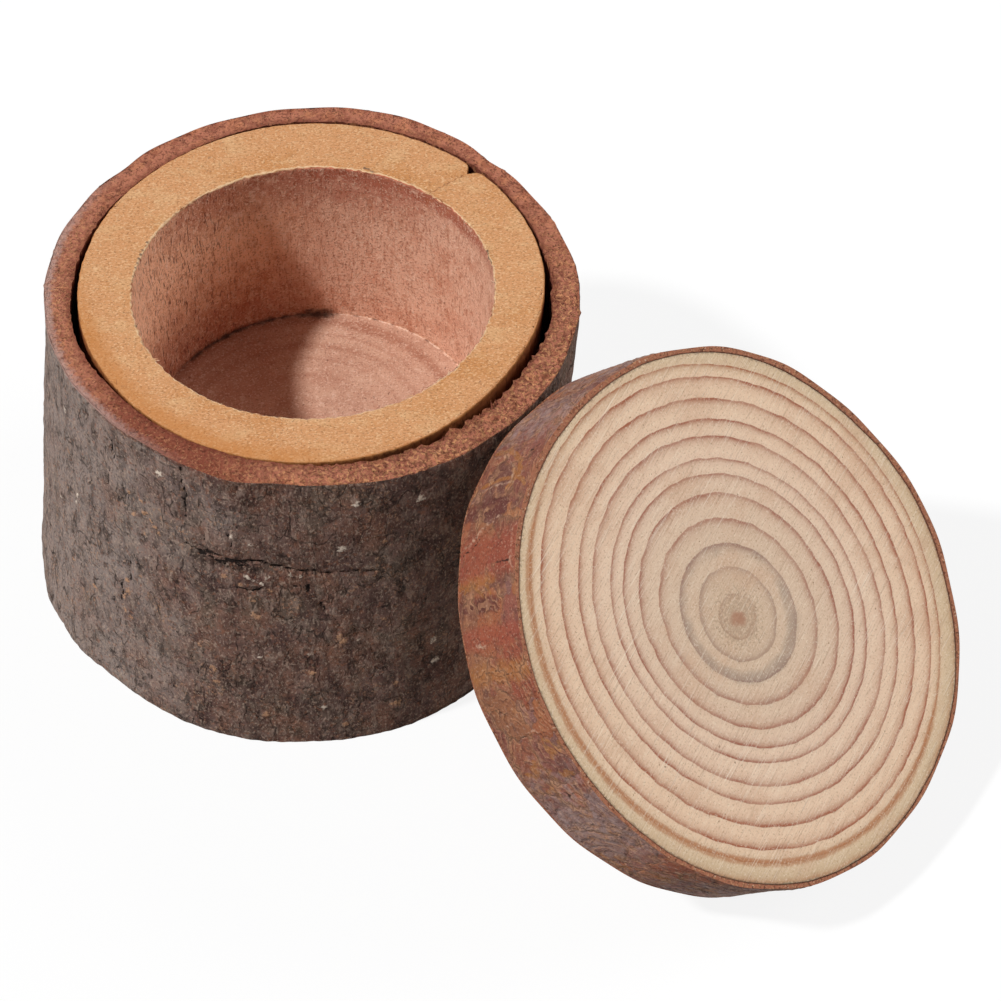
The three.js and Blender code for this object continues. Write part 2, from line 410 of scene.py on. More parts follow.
@dataclass(frozen=True)
class FlakyFinish(Finish):
    """Scaly bark: thin plates of different tones, with ragged edges and swirling lines over them."""

    tones: tuple[tuple[float, str], ...] = ()
    line: str = ""
    skin: str = ""
    plate_mm: float = 4.8
    lines_per_unit: float = 4.0

    def plates(self, nodes: Nodes, place: NodeSocket, output: str, feature: str) -> NodeSocket:
        """Adds the plates' cells, whose borders wander.

        Args:
            nodes: the material's nodes.
            place: the surface's place in millimetres.
            output: which of the cells' outputs is wanted.
            feature: what the cells give.

        Returns:
            That output.
        """
        shift = nodes.add("TexNoise", {"Vector": place, "Scale": 0.4, "Detail": 4.0}, "Color")
        spot = nodes.add("VectorMath", (shift, (6.0, 6.0, 4.5), place), operation="MULTIPLY_ADD")
        return nodes.add("TexVoronoi", {"Vector": spot, "Scale": 1 / self.plate_mm}, output, feature=feature)

    def ground_layer(self, nodes: Nodes, place: NodeSocket) -> tuple[NodeSocket, float]:
        """Draws the plates' tones."""
        chance = self.plates(nodes, place, "Color", "F1")
        return nodes.add("ValToRGB", (chance,), stops=self.tones), 0.0

    def last_layer(
        self, nodes: Nodes, place: NodeSocket, colour: NodeSocket, height: NodeSocket | float
    ) -> tuple[NodeSocket, NodeSocket]:
        """Draws the plates' dark and pale borders and the swirling lines, stronger in some places.

        Args:
            nodes: the material's nodes.
            place: the surface's place in millimetres.
            colour: the colour under the lines.
            height: the height under them, in millimetres.

        Returns:
            The colour and the height with the lines.
        """
        border = self.plates(nodes, place, "Distance", "DISTANCE_TO_EDGE")
        swirl = nodes.add("Attribute", output="Fac", attribute_name=FLAKE)
        fray = nodes.add("TexNoise", {"Vector": place, "Scale": 0.8, "Detail": 4.0})
        swirl = nodes.add("Math", (fray, 0.5, swirl), operation="MULTIPLY_ADD")
        swirl = nodes.add("Math", (swirl, self.lines_per_unit), operation="MULTIPLY")
        step = nodes.add("Math", (swirl,), operation="FRACT")
        smooth = nodes.add("Attribute", output="Fac", attribute_name=RUST_AND_PAINTED_SHADE)
        rough = nodes.add("TexNoise", {"Vector": place, "Scale": 0.5, "Detail": 4.0})
        rough = nodes.add("Math", (smooth, -0.14, rough), operation="MULTIPLY_ADD")
        for value, start, full, shade, strength, low, high in (
            (step, 0.4, 0.0, self.line, 0.45, 0.36, 0.56), (step, 0.5, 0.98, self.skin, 0.4, 0.44, 0.6),
            (border, 0.12, 0.03, self.skin, 0.45, 0.4, 0.6), (border, 0.045, 0.0, self.line, 0.6, 0.38, 0.56),
        ):
            line = nodes.add("MapRange", (value, start, full), interpolation_type="SMOOTHSTEP")
            shown = nodes.add("MapRange", (rough, low, high, 0.0, strength))
            line = nodes.add("Math", (line, shown), operation="MULTIPLY")
            layers = {MIX_FACTOR: line, MIX_UNDER: colour, MIX_OVER: linear(shade)}
            colour = nodes.add("Mix", layers, MIX_RESULT, data_type="RGBA")
        edge = nodes.add("MapRange", (border, 0.0, 0.12))
        height = nodes.add("Math", (edge, 0.14, height), operation="MULTIPLY_ADD")
        return colour, nodes.add("Math", (step, 0.05, height), operation="MULTIPLY_ADD")


# Real pores and dust are too fine to show at the photograph's size, so the speckles under 0.35 mm in these
# finishes are drawn coarser than they are.

# The log's own bark, weathered: matt, purple-brown and greyer to the left, with fine warm and dark flecks.
WEATHERED_BARK = Finish(
    name="weathered_bark",
    ground="#715850",
    gloss=0.1,
    coats=(
        Coat("#825b4a", 6.0, 0.44, 0.6, 0.6, long=(1, 1, 1.3), detail=5),
        Coat("#5d5549", 5.0, 0.5, 0.62, 0.5, long=(1, 1, 1.3), detail=5),
        Coat("#4c3532", 3.5, 0.46, 0.62, 0.65, long=(1, 1, 1.3), detail=6),
        Coat("#9a8d86", 3.5, 0.85, 1.6, 0.7, mark=BLOOM, spread=1.0, detail=6),
        Coat("#6e4138", 1.8, 0.8, 1.3, 0.45, detail=5, mark=RUST_AND_PAINTED_SHADE, spread=0.9),
        # Dark where the stain-and-shade mark lies: painted shade in a band under the main crack, and a broad
        # darker patch low on the front.
        Coat("#332722", 1.2, 0.75, 1.2, 0.8, detail=5, mark=STAIN_AND_PAINTED_SHADE, spread=0.7),
        Coat("#2b1e19", 1.3, 0.48, 0.66, 0.55, long=(1, 1, 2.4), detail=8, rise_mm=-0.16),
        Coat("#9f897c", 1.0, 0.5, 0.66, 0.5, long=(1, 1, 2.2), detail=7, rise_mm=0.12),
        Coat("#94624a", 0.5, 0.54, 0.68, 0.5, detail=3),
        Coat("#b8a08e", 0.3, 0.52, 0.67, 0.5, long=(1, 1, 1.4), detail=2, rise_mm=0.05),
        Coat("#241915", 0.3, 0.53, 0.68, 0.5, long=(1, 1, 1.4), detail=2, rise_mm=-0.05),
        Coat(
            "#2a1d19", 1.1, 0.9, 0.99, 0.42, long=(1, 1, 2.2), pattern=Pattern.CELLS, warp=1.3, broken=0.54,
            island_mm=1.8, rise_mm=-0.1,
        ),
        Coat("#a9836a", 0.45, 0.55, 0.64, 0.75, detail=3, broken=0.55, island_mm=4, rise_mm=0.05),
        Coat(
            "#1c1411", 2.6, 0.94, 0.99, 0.6, long=(1, 1, 1.9), pattern=Pattern.CELLS, warp=1.1, broken=0.52,
            island_mm=2.5, rise_mm=-0.16,
        ),
        Coat(
            "#1c1411", 2.8, 0.96, 0.995, 0.55, long=(1, 1, 2.4), pattern=Pattern.VEINS, broken=0.52,
            rise_mm=-0.12,
        ),
        Coat("#241a17", 1.5, 0.63, 0.7, 0.5, long=(2.5, 2.5, 0.5), detail=3, rise_mm=-0.08),
        Coat("#bd9070", 0.4, 1.3, 1.65, 0.8, mark=OCHRE_AND_PAINTED_LIGHT, spread=1.6, detail=3, rise_mm=0.06),
        Coat("#130d0c", 0.4, 0.82, 1.0, 0.95, mark=SPLIT_AND_PAINTED_SHADOW, spread=0.8, detail=2),
        Coat("#e6d4c2", 0.34, 1.3, 1.7, 0.9, mark=PALE, spread=1.6, detail=3, rise_mm=0.06),
    ),
    roughness=(0.75, 0.95),
)

# Bark cut across by the saw: matt and reddish, its soft layers torn to dark pits and orange crumbs.
CUT_BARK = Finish(
    name="sawn_bark_edge",
    ground="#ac6d56",
    gloss=0.12,
    coats=(
        Coat("#bd7a58", 2.0, 0.5, 0.62, 0.6, detail=4),
        Coat("#7e4434", 1.1, 0.48, 0.62, 0.55, detail=7, rise_mm=-0.1),
        Coat("#74392b", 1.0, 0.6, 1.2, 0.8, mark=RUST_AND_PAINTED_SHADE, spread=0.7, detail=7, rise_mm=-0.2),
        Coat("#c08560", 0.3, 0.52, 0.67, 0.6, detail=3, rise_mm=0.08),
        Coat("#5f2e22", 0.3, 0.52, 0.67, 0.58, detail=3, rise_mm=-0.1),
        Coat("#4a2018", 0.5, 0.58, 0.7, 0.45, detail=6, rise_mm=-0.25),
        Coat("#e3a874", 0.4, 0.5, 0.6, 0.9, detail=3, rise_mm=0.15, within=GRIT),
        Coat("#421a10", 0.45, 0.53, 0.62, 0.72, detail=3, rise_mm=-0.25, within=GRIT),
        # Painted shade: the cut's inner half darkens towards the gap behind the bark.
        Coat("#662f22", 0.6, 0.6, 0.25, 0.5, mark=ACROSS, spread=0.5, detail=5),
        Coat("#b3958c", 0.5, 0.9, 1.3, 0.75, mark=ACROSS, spread=0.7, detail=5, within=BLOOM),
    ),
    roughness=(0.8, 0.95),
)

# The bark's fibrous inner face, seen down the gap: dark, matt and reddish.
INNER_BARK = Finish(
    name="inner_bark_fibre",
    ground="#744031",
    gloss=0.12,
    coats=(
        Coat("#3a1c13", 0.7, 0.5, 0.62, 0.7, long=(1, 1, 3), detail=3, rise_mm=-0.1),
        Coat("#a86f4c", 0.6, 0.52, 0.64, 0.75, long=(1, 1, 3), detail=4, rise_mm=0.05),
    ),
    roughness=(0.8, 0.95),
)

# Bare sawn wood of the rim: a little sheen, honey-coloured, finely speckled, its torn edge paler.
SAWN_WOOD = Finish(
    name="sawn_pale_wood",
    ground="#c58e61",
    gloss=0.2,
    coats=(
        Coat("#b77b45", 8.0, 0.48, 0.66, 0.6, long=(1.4, 0.9, 1), detail=5),
        Coat("#cfa67a", 3.0, 0.5, 0.68, 0.55, long=(1.3, 0.9, 1), detail=6),
        Coat("#a97548", 1.0, 0.54, 0.68, 0.45, long=(1.4, 0.8, 1), detail=5),
        Coat("#e2be96", 0.8, 0.58, 0.74, 0.45, long=(1.3, 0.9, 1), detail=5),
        Coat("#dfb98f", 0.25, 0.52, 0.66, 0.65, long=(1.3, 0.9, 1), detail=2, rise_mm=0.03),
        Coat("#8a5a33", 0.25, 0.53, 0.66, 0.62, long=(1.3, 0.9, 1), detail=2, rise_mm=-0.03),
        Coat("#7f634e", 0.8, 0.64, 0.74, 0.5, detail=5),
        Coat("#b57234", 1.0, 0.7, 1.2, 0.52, mark=OCHRE_AND_PAINTED_LIGHT, spread=0.5, detail=4),
        Coat("#8a5028", 0.35, 1.2, 1.4, 0.7, mark=ACROSS, spread=0.5, detail=2),
        Coat("#e9cda6", 0.4, 1.0, 1.5, 0.65, mark=EDGE, spread=1.3, detail=4),
        Coat("#7a4a2c", 0.35, 0.95, 1.15, 0.8, mark=SPLIT_AND_PAINTED_SHADOW, spread=0.6, detail=2),
        Coat("#5f4a3e", 0.4, 0.85, 1.15, 0.85, mark=STAIN_AND_PAINTED_SHADE, spread=0.9, detail=3),
        Coat("#c2604a", 0.5, 0.95, 1.15, 0.8, mark=RUST_AND_PAINTED_SHADE, spread=0.7, detail=2),
    ),
    roughness=(0.6, 0.8),
)

# The wood's side under the bark: darker and browner, since it was never sawn.
LOG_SIDE = Finish(
    name="peeled_log_side",
    ground="#834a28",
    gloss=0.15,
    coats=(
        Coat("#552a16", 0.6, 0.5, 0.64, 0.7, long=(1, 1, 3), detail=3, rise_mm=-0.05),
        Coat("#a56a3c", 0.4, 0.58, 0.68, 0.5, long=(1, 1, 2), detail=3),
        Coat("#c08850", 0.4, 1.1, 1.5, 0.7, mark=OCHRE_AND_PAINTED_LIGHT, spread=0.6, detail=3),
    ),
)

# The bore's wall: matt, pinkish and fuzzy, scored round by the bit and finely pitted along the grain.
BORED_WALL = Finish(
    name="bored_wall",
    ground="#dbaa90",
    gloss=0.15,
    coats=(
        Coat("#c07b5e", 5.0, 0.46, 0.64, 0.4, detail=4),
        # Paler where the ochre-and-light mark lies: on the bore's left wall this is partly the wood's honey
        # tone and partly painted light, standing in for light bounced onto that shaded side.
        Coat("#f0ba96", 1.5, 0.3, 1.1, 0.9, mark=OCHRE_AND_PAINTED_LIGHT, spread=0.6, detail=4),
        # Redder where the rust-and-shade mark lies: a real redder band near the top, and painted shade low on
        # the shaded left-back wall.
        Coat("#a0503a", 1.6, 0.4, 1.2, 0.8, mark=RUST_AND_PAINTED_SHADE, spread=0.8, detail=5),
        Coat("#a8633f", 1.3, 0.52, 0.68, 0.45, long=(1, 1, 1.8), detail=6, rise_mm=-0.05),
        Coat("#ecc5ac", 0.9, 0.53, 0.68, 0.5, long=(1, 1, 1.5), detail=6, rise_mm=0.05),
        Coat("#a4603f", 0.35, 0.52, 0.66, 0.4, long=(1, 1, 7), detail=3, rise_mm=-0.06),
        Coat("#f0ceb4", 0.27, 0.52, 0.66, 0.5, detail=2, rise_mm=0.06),
        Coat("#8c4a32", 0.28, 0.53, 0.67, 0.55, detail=2, rise_mm=-0.06),
        Coat("#8c4c38", 0.42, 0.55, 0.72, 0.25, long=(7, 7, 0.7), detail=4, rise_mm=-0.03),
        Coat("#54281c", 0.24, 0.61, 0.69, 0.7, long=(1, 1, 5), detail=1, rise_mm=-0.06, within=BLOOM),
        Coat("#e8ccb0", 0.4, 1.0, 1.5, 0.7, mark=EDGE, spread=1.3, detail=4),
        # Dark where the stain-and-shade mark lies: painted shade along the wall's joint with the floor.
        Coat("#36221c", 0.8, 0.75, 1.35, 0.85, mark=STAIN_AND_PAINTED_SHADE, spread=1.0, detail=6),
    ),
    roughness=(0.7, 0.85),
)

# The bore's floor: smoother than the wall, pinkish grey, with the bit's soft circles.
BORED_FLOOR = Finish(
    name="bored_floor",
    ground="#c69d86",
    gloss=0.15,
    coats=(
        Coat("#b0806a", 4.0, 0.46, 0.66, 0.5, detail=4),
        # Redder and darker where the rust-and-shade mark lies: painted shade on the floor's left half, where
        # the rim's shadow falls.
        Coat("#a45c44", 3.0, 0.3, 1.2, 0.38, mark=RUST_AND_PAINTED_SHADE, spread=0.6, detail=5),
        Coat("#94583f", 1.2, 0.45, 1.3, 0.55, mark=RING, spread=0.7, detail=5, rise_mm=-0.04),
        Coat("#debba6", 1.0, 0.55, 0.68, 0.4, detail=5),
        Coat("#e3c2ae", 0.26, 0.53, 0.67, 0.5, detail=2, rise_mm=0.03),
        Coat("#8e5742", 0.26, 0.54, 0.68, 0.55, detail=2, rise_mm=-0.04),
        Coat("#6a4030", 0.5, 0.66, 0.74, 0.6, detail=2),
        Coat("#eed2bc", 0.45, 0.95, 1.3, 0.7, mark=EDGE, spread=1.2, detail=4),
        # Dark where the stain-and-shade mark lies: painted shade in the floor's corner along the wall.
        Coat("#36221c", 0.8, 0.75, 1.35, 0.85, mark=STAIN_AND_PAINTED_SHADE, spread=1.0, detail=6),
    ),
    roughness=(0.65, 0.85),
)

# Torn fibres and splinters of the same wood: bare, matt and mostly paler than what they stand on.
TORN_FIBRE = Finish(
    name="torn_wood_fibre",
    ground="#d6ae84",
    gloss=0.15,
    coats=(
        Coat("#eed8ba", 2.2, 0.5, 0.6, 0.8, detail=1),
        Coat("#a0623e", 2.6, 0.52, 0.58, 0.9, detail=1),
        Coat("#5a4034", 3.0, 0.6, 0.64, 0.8, detail=1),
    ),
)

# Sawn softwood end grain: a faint sheen, cream early wood, brown late wood and the saw's fine scratches.
SLICE_FACE = RingedFinish(
    name="ringed_softwood",
    ground="#dfc3a2",
    gloss=0.2,
    tones=(
        (0.0, "#cdb298"), (0.3, "#dabea4"), (0.5, "#e4c6ac"), (0.84, "#e6c6a8"), (0.93, "#d8bc9c"),
        (1.0, "#ceb795"),
    ),
    late_tones=(
        (0.0, "#a87c60"), (0.2, "#8e7266"), (0.3, "#a06a56"), (0.6, "#9e5f4a"), (0.85, "#a05e42"),
        (1.0, "#a86c44"),
    ),
    late_strengths=(
        (0.0, 0.4), (0.12, 0.6), (0.2, 0.8), (0.3, 0.85), (0.5, 1.0), (0.58, 0.75), (0.66, 1.0), (0.9, 1.0),
        (1.0, 0.6),
    ),
    coats=(
        Coat("#c9a083", 6.0, 0.5, 0.66, 0.35, detail=5),
        Coat("#968476", 1.8, 0.85, 1.6, 0.6, mark=BLOOM, spread=1.2, detail=6),
        Coat("#d0b698", 1.4, 0.6, 1.3, 0.2, mark=CORE, spread=0.6, detail=4),
        Coat("#b07850", 1.6, 0.7, 1.25, 0.75, mark=OCHRE_AND_PAINTED_LIGHT, spread=0.8, detail=5),
        Coat("#f3e4ce", 0.24, 0.54, 0.7, 0.36, detail=2, rise_mm=0.02),
        Coat("#a98468", 0.24, 0.55, 0.69, 0.5, detail=2, rise_mm=-0.03),
        Coat("#8a6f58", 0.32, 1.5, 1.8, 0.35, mark=CORE, spread=1.6, detail=2, rise_mm=-0.03),
        Coat("#f6e9d6", 0.3, 0.53, 0.72, 0.3, long=(14, 0.5, 1), detail=3, turn_degrees=13.4, rise_mm=0.02),
        Coat("#9c7660", 0.3, 0.53, 0.72, 0.36, long=(11, 0.5, 1), detail=3, rise_mm=-0.02, turn_degrees=13.4),
        Coat(
            "#fbf0de", 0.45, 0.6, 0.7, 0.45, long=(30, 0.35, 1), detail=2, broken=0.54, island_mm=9,
            turn_degrees=12,
        ),
        Coat("#8a6448", 0.45, 0.735, 0.78, 0.7, detail=1),
        Coat("#a8765c", 0.5, 0.6, 1.3, 0.75, mark=RUST_AND_PAINTED_SHADE, spread=1.0, detail=4),
        Coat("#75604f", 0.4, 1.3, 1.6, 0.6, mark=EDGE, spread=1.1, detail=3),
    ),
    roughness=(0.6, 0.8),
)

# The lid's scaly bark: thin plates with a dull sheen, red-brown, ochre and mauve, with ragged edges.
FLAKY_BARK = FlakyFinish(
    name="flaky_pine_bark",
    ground="#8f4f38",
    gloss=0.2,
    tones=(
        (0.0, "#724034"), (0.3, "#7a4a40"), (0.4, "#945638"), (0.5, "#7e5750"), (0.58, "#8a4834"),
        (0.68, "#9a6442"), (0.8, "#6a4238"), (1.0, "#8c655e"),
    ),
    line="#3c1f18",
    skin="#b98a68",
    coats=(
        Coat("#56362f", 1.7, 0.52, 0.64, 0.6, long=(1.6, 1.6, 1), detail=7, rise_mm=-0.05),
        Coat("#a06c4c", 1.2, 0.54, 0.64, 0.45, long=(1.5, 1.5, 1), detail=6),
        Coat("#996336", 1.0, 0.85, 1.3, 0.8, mark=OCHRE_AND_PAINTED_LIGHT, spread=0.9, detail=6),
        Coat("#8e4735", 1.2, 0.8, 1.3, 0.75, mark=RUST_AND_PAINTED_SHADE, spread=0.9, detail=6),
        Coat("#5c322c", 1.0, 0.75, 1.1, 0.85, mark=STAIN_AND_PAINTED_SHADE, spread=0.9, detail=6),
        Coat("#9c8682", 1.1, 0.95, 1.5, 0.7, mark=BLOOM, spread=1.2, detail=6),
        Coat("#472d26", 0.42, 0.5, 0.6, 0.8, long=(7, 7, 1), detail=3, within=FIBRE, rise_mm=-0.12),
        Coat("#b39a8c", 0.4, 0.55, 0.65, 0.65, long=(6, 6, 1), detail=3, within=FIBRE, rise_mm=0.08),
        Coat("#c09a82", 0.27, 0.54, 0.68, 0.35, detail=2, rise_mm=0.03),
        Coat("#4e271e", 0.27, 0.54, 0.68, 0.5, detail=2, rise_mm=-0.04),
        # Dark along the split-and-shadow mark: cracks, and the painted shadow beside a lifted flake's edge.
        Coat("#24120d", 0.6, 0.75, 1.0, 0.9, mark=SPLIT_AND_PAINTED_SHADOW, spread=0.6, detail=3),
        Coat("#c9a48c", 0.5, 1.15, 1.8, 0.8, mark=PALE, spread=1.5, detail=5, rise_mm=0.05),
    ),
    roughness=(0.55, 0.85),
)

# The same bark cut across by the saw: matt, reddish brown with a pale outermost skin.
FLAKY_BARK_CUT = Finish(
    name="sawn_flaky_bark_edge",
    ground="#a2684e",
    gloss=0.2,
    coats=(
        Coat("#c08a66", 0.4, 0.5, 0.62, 0.7, detail=3, rise_mm=0.1),
        Coat("#5a3022", 0.4, 0.54, 0.68, 0.7, detail=3, rise_mm=-0.12),
        Coat("#d8b49a", 0.3, 0.62, 0.7, 0.7, detail=2, rise_mm=0.05),
        Coat("#4a2c22", 0.4, 0.45, 0.2, 0.7, mark=ACROSS, spread=0.4, detail=3),
    ),
)

# Turned softwood of the locating disc: smooth, with a faint sheen and the same rings, cut off centre.
TURNED_WOOD = RingedFinish(
    name="turned_softwood",
    ground="#d8ba92",
    tones=((0.0, "#cdae88"), (1.0, "#dcc09a")),
    late_tones=((0.0, "#b58a66"), (1.0, "#b08058")),
    late_strengths=((0.0, 0.4), (1.0, 0.6)),
    coats=(
        Coat("#e8d2b0", 0.3, 0.55, 0.7, 0.5, detail=2, rise_mm=0.01),
        Coat("#b39069", 0.3, 0.58, 0.72, 0.5, detail=2, rise_mm=-0.015),
    ),
)


def between(row: list[float], angle: float) -> float:
    """Reads a value between the steps round the turn.

    Args:
        row: a value for each step.
        angle: direction in radians.

    Returns:
        The value in that direction.
    """
    turn = angle / TURN % 1 * len(row)
    step, beside = int(turn), turn - int(turn)
    here, there = row[step % len(row)], row[(step + 1) % len(row)]
    return here + (there - here) * beside


def ray_tree(node: bpy.types.Object, to_axis: Matrix) -> BVHTree:
    """Sorts a node's faces for rays, in millimetres about an axis."""
    points = [to_axis @ (vertex.co / MM) for vertex in node.data.vertices]
    return BVHTree.FromPolygons(points, [polygon.vertices for polygon in node.data.polygons])


def heights_along(node: bpy.types.Object, distance: Callable[[float], float]) -> list[float]:
    """Reads how high a node stands along a loop, by rays from above.

    Args:
        node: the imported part's node.
        distance: the loop's distance from the axis, by angle.

    Returns:
        A height for each step round the turn.
    """
    tree = ray_tree(node, Matrix.Identity(4))
    row = []
    for step in range(TURN_STEPS):
        angle = TURN * step / TURN_STEPS
        row.append(tree.ray_cast(facing(angle) * distance(angle) + UP * FAR, -UP)[0].z)
    return row


class Outline:
    """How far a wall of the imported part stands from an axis, smoothed round the turn."""

    def __init__(
        self, node: bpy.types.Object, heights: Pair, from_outside: bool, blur_degrees: float,
        to_axis: Matrix = Matrix.Identity(4), levels: int = 12,
    ) -> None:
        """Casts rays at the node's wall.

        Args:
            node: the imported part's node.
            heights: lowest and highest place where the wall is read.
            from_outside: reads the outer wall from outside, or else the inner one from the axis.
            blur_degrees: how far round the turn the wall is smoothed.
            to_axis: turns the part's millimetres to the axis's own.
            levels: how many heights are read.
        """
        tree = ray_tree(node, to_axis)
        self.low, self.high = heights
        self.levels = levels
        reach = round(2 * blur_degrees)
        weights = [bell(offset, blur_degrees) for offset in range(-reach, reach + 1)]
        total = sum(weights)
        self.table = []
        for level in range(levels + 1):
            height = self.low + (self.high - self.low) * level / levels
            row = []
            for step in range(TURN_STEPS):
                out = facing(TURN * step / TURN_STEPS)
                start = UP * height + (out * FAR if from_outside else Vector())
                hit = tree.ray_cast(start, -out if from_outside else out)[0]
                row.append(math.hypot(hit.x, hit.y))
            self.table.append([
                sum(w * row[(step + i - reach) % TURN_STEPS] for i, w in enumerate(weights)) / total
                for step in range(TURN_STEPS)
            ])

    def at(self, angle: float, height: float) -> float:
        """Reads the wall's distance from the axis.

        Args:
            angle: direction in radians.
            height: height along the axis.

        Returns:
            The distance there.
        """
        rise = min(max((height - self.low) / (self.high - self.low), 0.0), 1.0) * self.levels
        level = min(int(rise), self.levels - 1)
        low, high = between(self.table[level], angle), between(self.table[level + 1], angle)
        return low + (high - low) * (rise - level)


@dataclass
class Blank:
    """A turned blank: a profile of corners, cut into short stretches and spun round the axis."""

    corners: list[Pair]
    cuts: list[int]
    steps: int
    is_ring: bool = False
    bevels: dict[int, float] = field(default_factory=dict)
    fine: int = 8

    def spin(self) -> BMesh:
        """Spins the profile, eases the corners that are named in bevels and cuts the turn into fine steps.

        Returns:
            The blank's mesh, which its owner frees.
        """
        mesh = bmesh.new()
        points = [mesh.verts.new((radius, 0, height)) for radius, height in self.corners]
        for start, end in zip(points, points[1:] + points[:1] * self.is_ring):
            mesh.edges.new((start, end))
        for index, parts in enumerate(self.cuts):
            mesh.edges.ensure_lookup_table()
            bmesh.ops.subdivide_edges(mesh, edges=[mesh.edges[index]], cuts=parts - 1)
        coarse = self.steps // self.fine
        bmesh.ops.spin(
            mesh, geom=mesh.verts[:] + mesh.edges[:], cent=(0, 0, 0), axis=UP, dvec=(0, 0, 0),
            angle=TURN, steps=coarse, use_merge=True,
        )
        bmesh.ops.remove_doubles(mesh, verts=mesh.verts[:], dist=TINY)
        for corner, width in self.bevels.items():
            edges = [edge for edge in mesh.edges if self.lies_at(edge, self.corners[corner])]
            bmesh.ops.bevel(
                mesh, geom=edges, offset=width, segments=3, profile=0.5, affect="EDGES", material=-1
            )
        rings = [edge for edge in mesh.edges if self.lies_at(edge)]
        bmesh.ops.subdivide_edges(mesh, edges=rings, cuts=self.fine - 1)
        step = TURN / coarse
        for vertex in mesh.verts:
            from_middle = math.atan2(vertex.co.y, vertex.co.x) % step - step / 2
            vertex.co.xy *= math.cos(from_middle) / math.cos(step / 2)
        bmesh.ops.recalc_face_normals(mesh, faces=mesh.faces[:])
        return mesh

    @staticmethod
    def lies_at(edge: BMEdge, corner: Pair | None = None) -> bool:
        """Tells whether an edge goes round the axis.

        Args:
            edge: the edge.
            corner: the corner of the profile that it has to lie at, if any.

        Returns:
            Whether it goes round, and does so at that corner.
        """
        start, end = edge.verts
        near = 10 * TINY
        radius = start.co.xy.length
        if abs(start.co.z - end.co.z) > near or abs(radius - end.co.xy.length) > near:
            return False
        return corner is None or (abs(radius - corner[0]) < near and abs(start.co.z - corner[1]) < near)


class Marks:
    """Lays soft marks on the vertices near a line of spots."""

    def __init__(self, mesh: BMesh) -> None:
        """Sorts the mesh's vertices by place.

        Args:
            mesh: the mesh that takes the marks.
        """
        mesh.verts.ensure_lookup_table()
        self.verts = mesh.verts
        self.tree = kdtree.KDTree(len(mesh.verts))
        for vertex in mesh.verts:
            self.tree.insert(vertex.co, vertex.index)
        self.tree.balance()

    def lay(self, layer: BMLayerItem, spots: Iterable[Vector], width: float, strength: float) -> None:
        """Marks the vertices round each spot, strongest at the spot.

        Args:
            layer: the vertex layer that takes the mark.
            spots: places in millimetres.
            width: distance at which the mark has faded to a third.
            strength: the mark's value at a spot.
        """
        for spot in spots:
            for _, index, distance in self.tree.find_range(spot, 2.2 * width):
                vertex = self.verts[index]
                vertex[layer] = max(vertex[layer], strength * bell(distance, width))


def layers_of(mesh: BMesh, *names: str) -> SimpleNamespace:
    """Adds a number to every vertex under each name, and returns the layers by name."""
    return SimpleNamespace(**{name: mesh.verts.layers.float.new(name) for name in names})


def sort_faces(mesh: BMesh, zone_at: Callable[[float, float], Enum]) -> None:
    """Gives each face the material slot of its zone.

    Args:
        mesh: the turned blank.
        zone_at: tells the zone at a radius and a height.
    """
    for face in mesh.faces:
        middle = face.calc_center_median()
        face.material_index = zone_at(math.hypot(middle.x, middle.y), middle.z).value


def finish_piece(
    name: str, mesh: BMesh, finishes: Iterable[Finish], body: str, nodes: tuple[str, ...] = (),
    to_part: Matrix = Matrix.Identity(4),
) -> None:
    """Makes a carved mesh a piece of the model.

    Args:
        name: the piece's name.
        mesh: the carved mesh in millimetres, freed here.
        finishes: one finish for each material slot.
        body: the moving body that the piece rides on.
        nodes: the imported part's nodes that the piece stands for.
        to_part: turns the piece's own millimetres to the part's.
    """
    place = mesh.verts.layers.float_vector.new(PLACE)
    for vertex in mesh.verts:
        vertex[place] = vertex.co
    bmesh.ops.transform(mesh, matrix=Matrix.Scale(MM, 4) @ to_part, verts=mesh.verts[:])
    piece = link_mesh(name, mesh)
    for finish in finishes:
        piece.data.materials.append(finish.material())
    piece.data.shade_smooth()
    piece.data.set_sharp_from_angle(angle=math.radians(50))
    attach(piece, body)
    if nodes:
        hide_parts(*nodes)
    logger.info("%s: %d faces on body %s", name, len(piece.data.polygons), body)


def link(name: str, data: bpy.types.ID) -> bpy.types.Object:
    """Adds an object to the scene.

    Args:
        name: the object's name.
        data: its mesh, lamp or camera.

    Returns:
        The object.
    """
    thing = bpy.data.objects.new(name, data)
    bpy.context.scene.collection.objects.link(thing)
    return thing


def link_mesh(name: str, mesh: BMesh) -> bpy.types.Object:
    """Adds a mesh to the scene as an object.

    Args:
        name: the object's name.
        mesh: the mesh, freed here.

    Returns:
        The object.
    """
    data = bpy.data.meshes.new(name)
    mesh.to_mesh(data)
    mesh.free()
    return link(name, data)


def grow_fibre(
    mesh: BMesh, root: Vector, way: Vector, curl: Vector, length: float, thickness: float
) -> None:
    """Grows one tapering, curling fibre of a few faces.

    Args:
        mesh: the mesh that it is added to, in millimetres.
        root: where it is held.
        way: direction in which it starts.
        curl: how its direction changes along its length.
        length: its length.
        thickness: its radius at the root.
    """
    way = way.normalized()
    turned = way.to_track_quat("Z", "Y").to_matrix().to_4x4()
    ring = bmesh.ops.create_circle(
        mesh, cap_ends=True, segments=3, radius=thickness, matrix=Matrix.Translation(root) @ turned
    )["verts"]
    tip = list(ring[0].link_faces)
    parts, taper = 4, 0.72
    for step in range(1, parts + 1):
        new = bmesh.ops.extrude_face_region(mesh, geom=tip)["geom"]
        verts = [item for item in new if isinstance(item, BMVert)]
        tip = [item for item in new if isinstance(item, BMFace)]
        ahead = (way + curl * (step / parts)).normalized() * (length / parts)
        middle = sum((vertex.co for vertex in verts), Vector()) / len(verts)
        for vertex in verts:
            vertex.co = middle + ahead + (vertex.co - middle) * taper


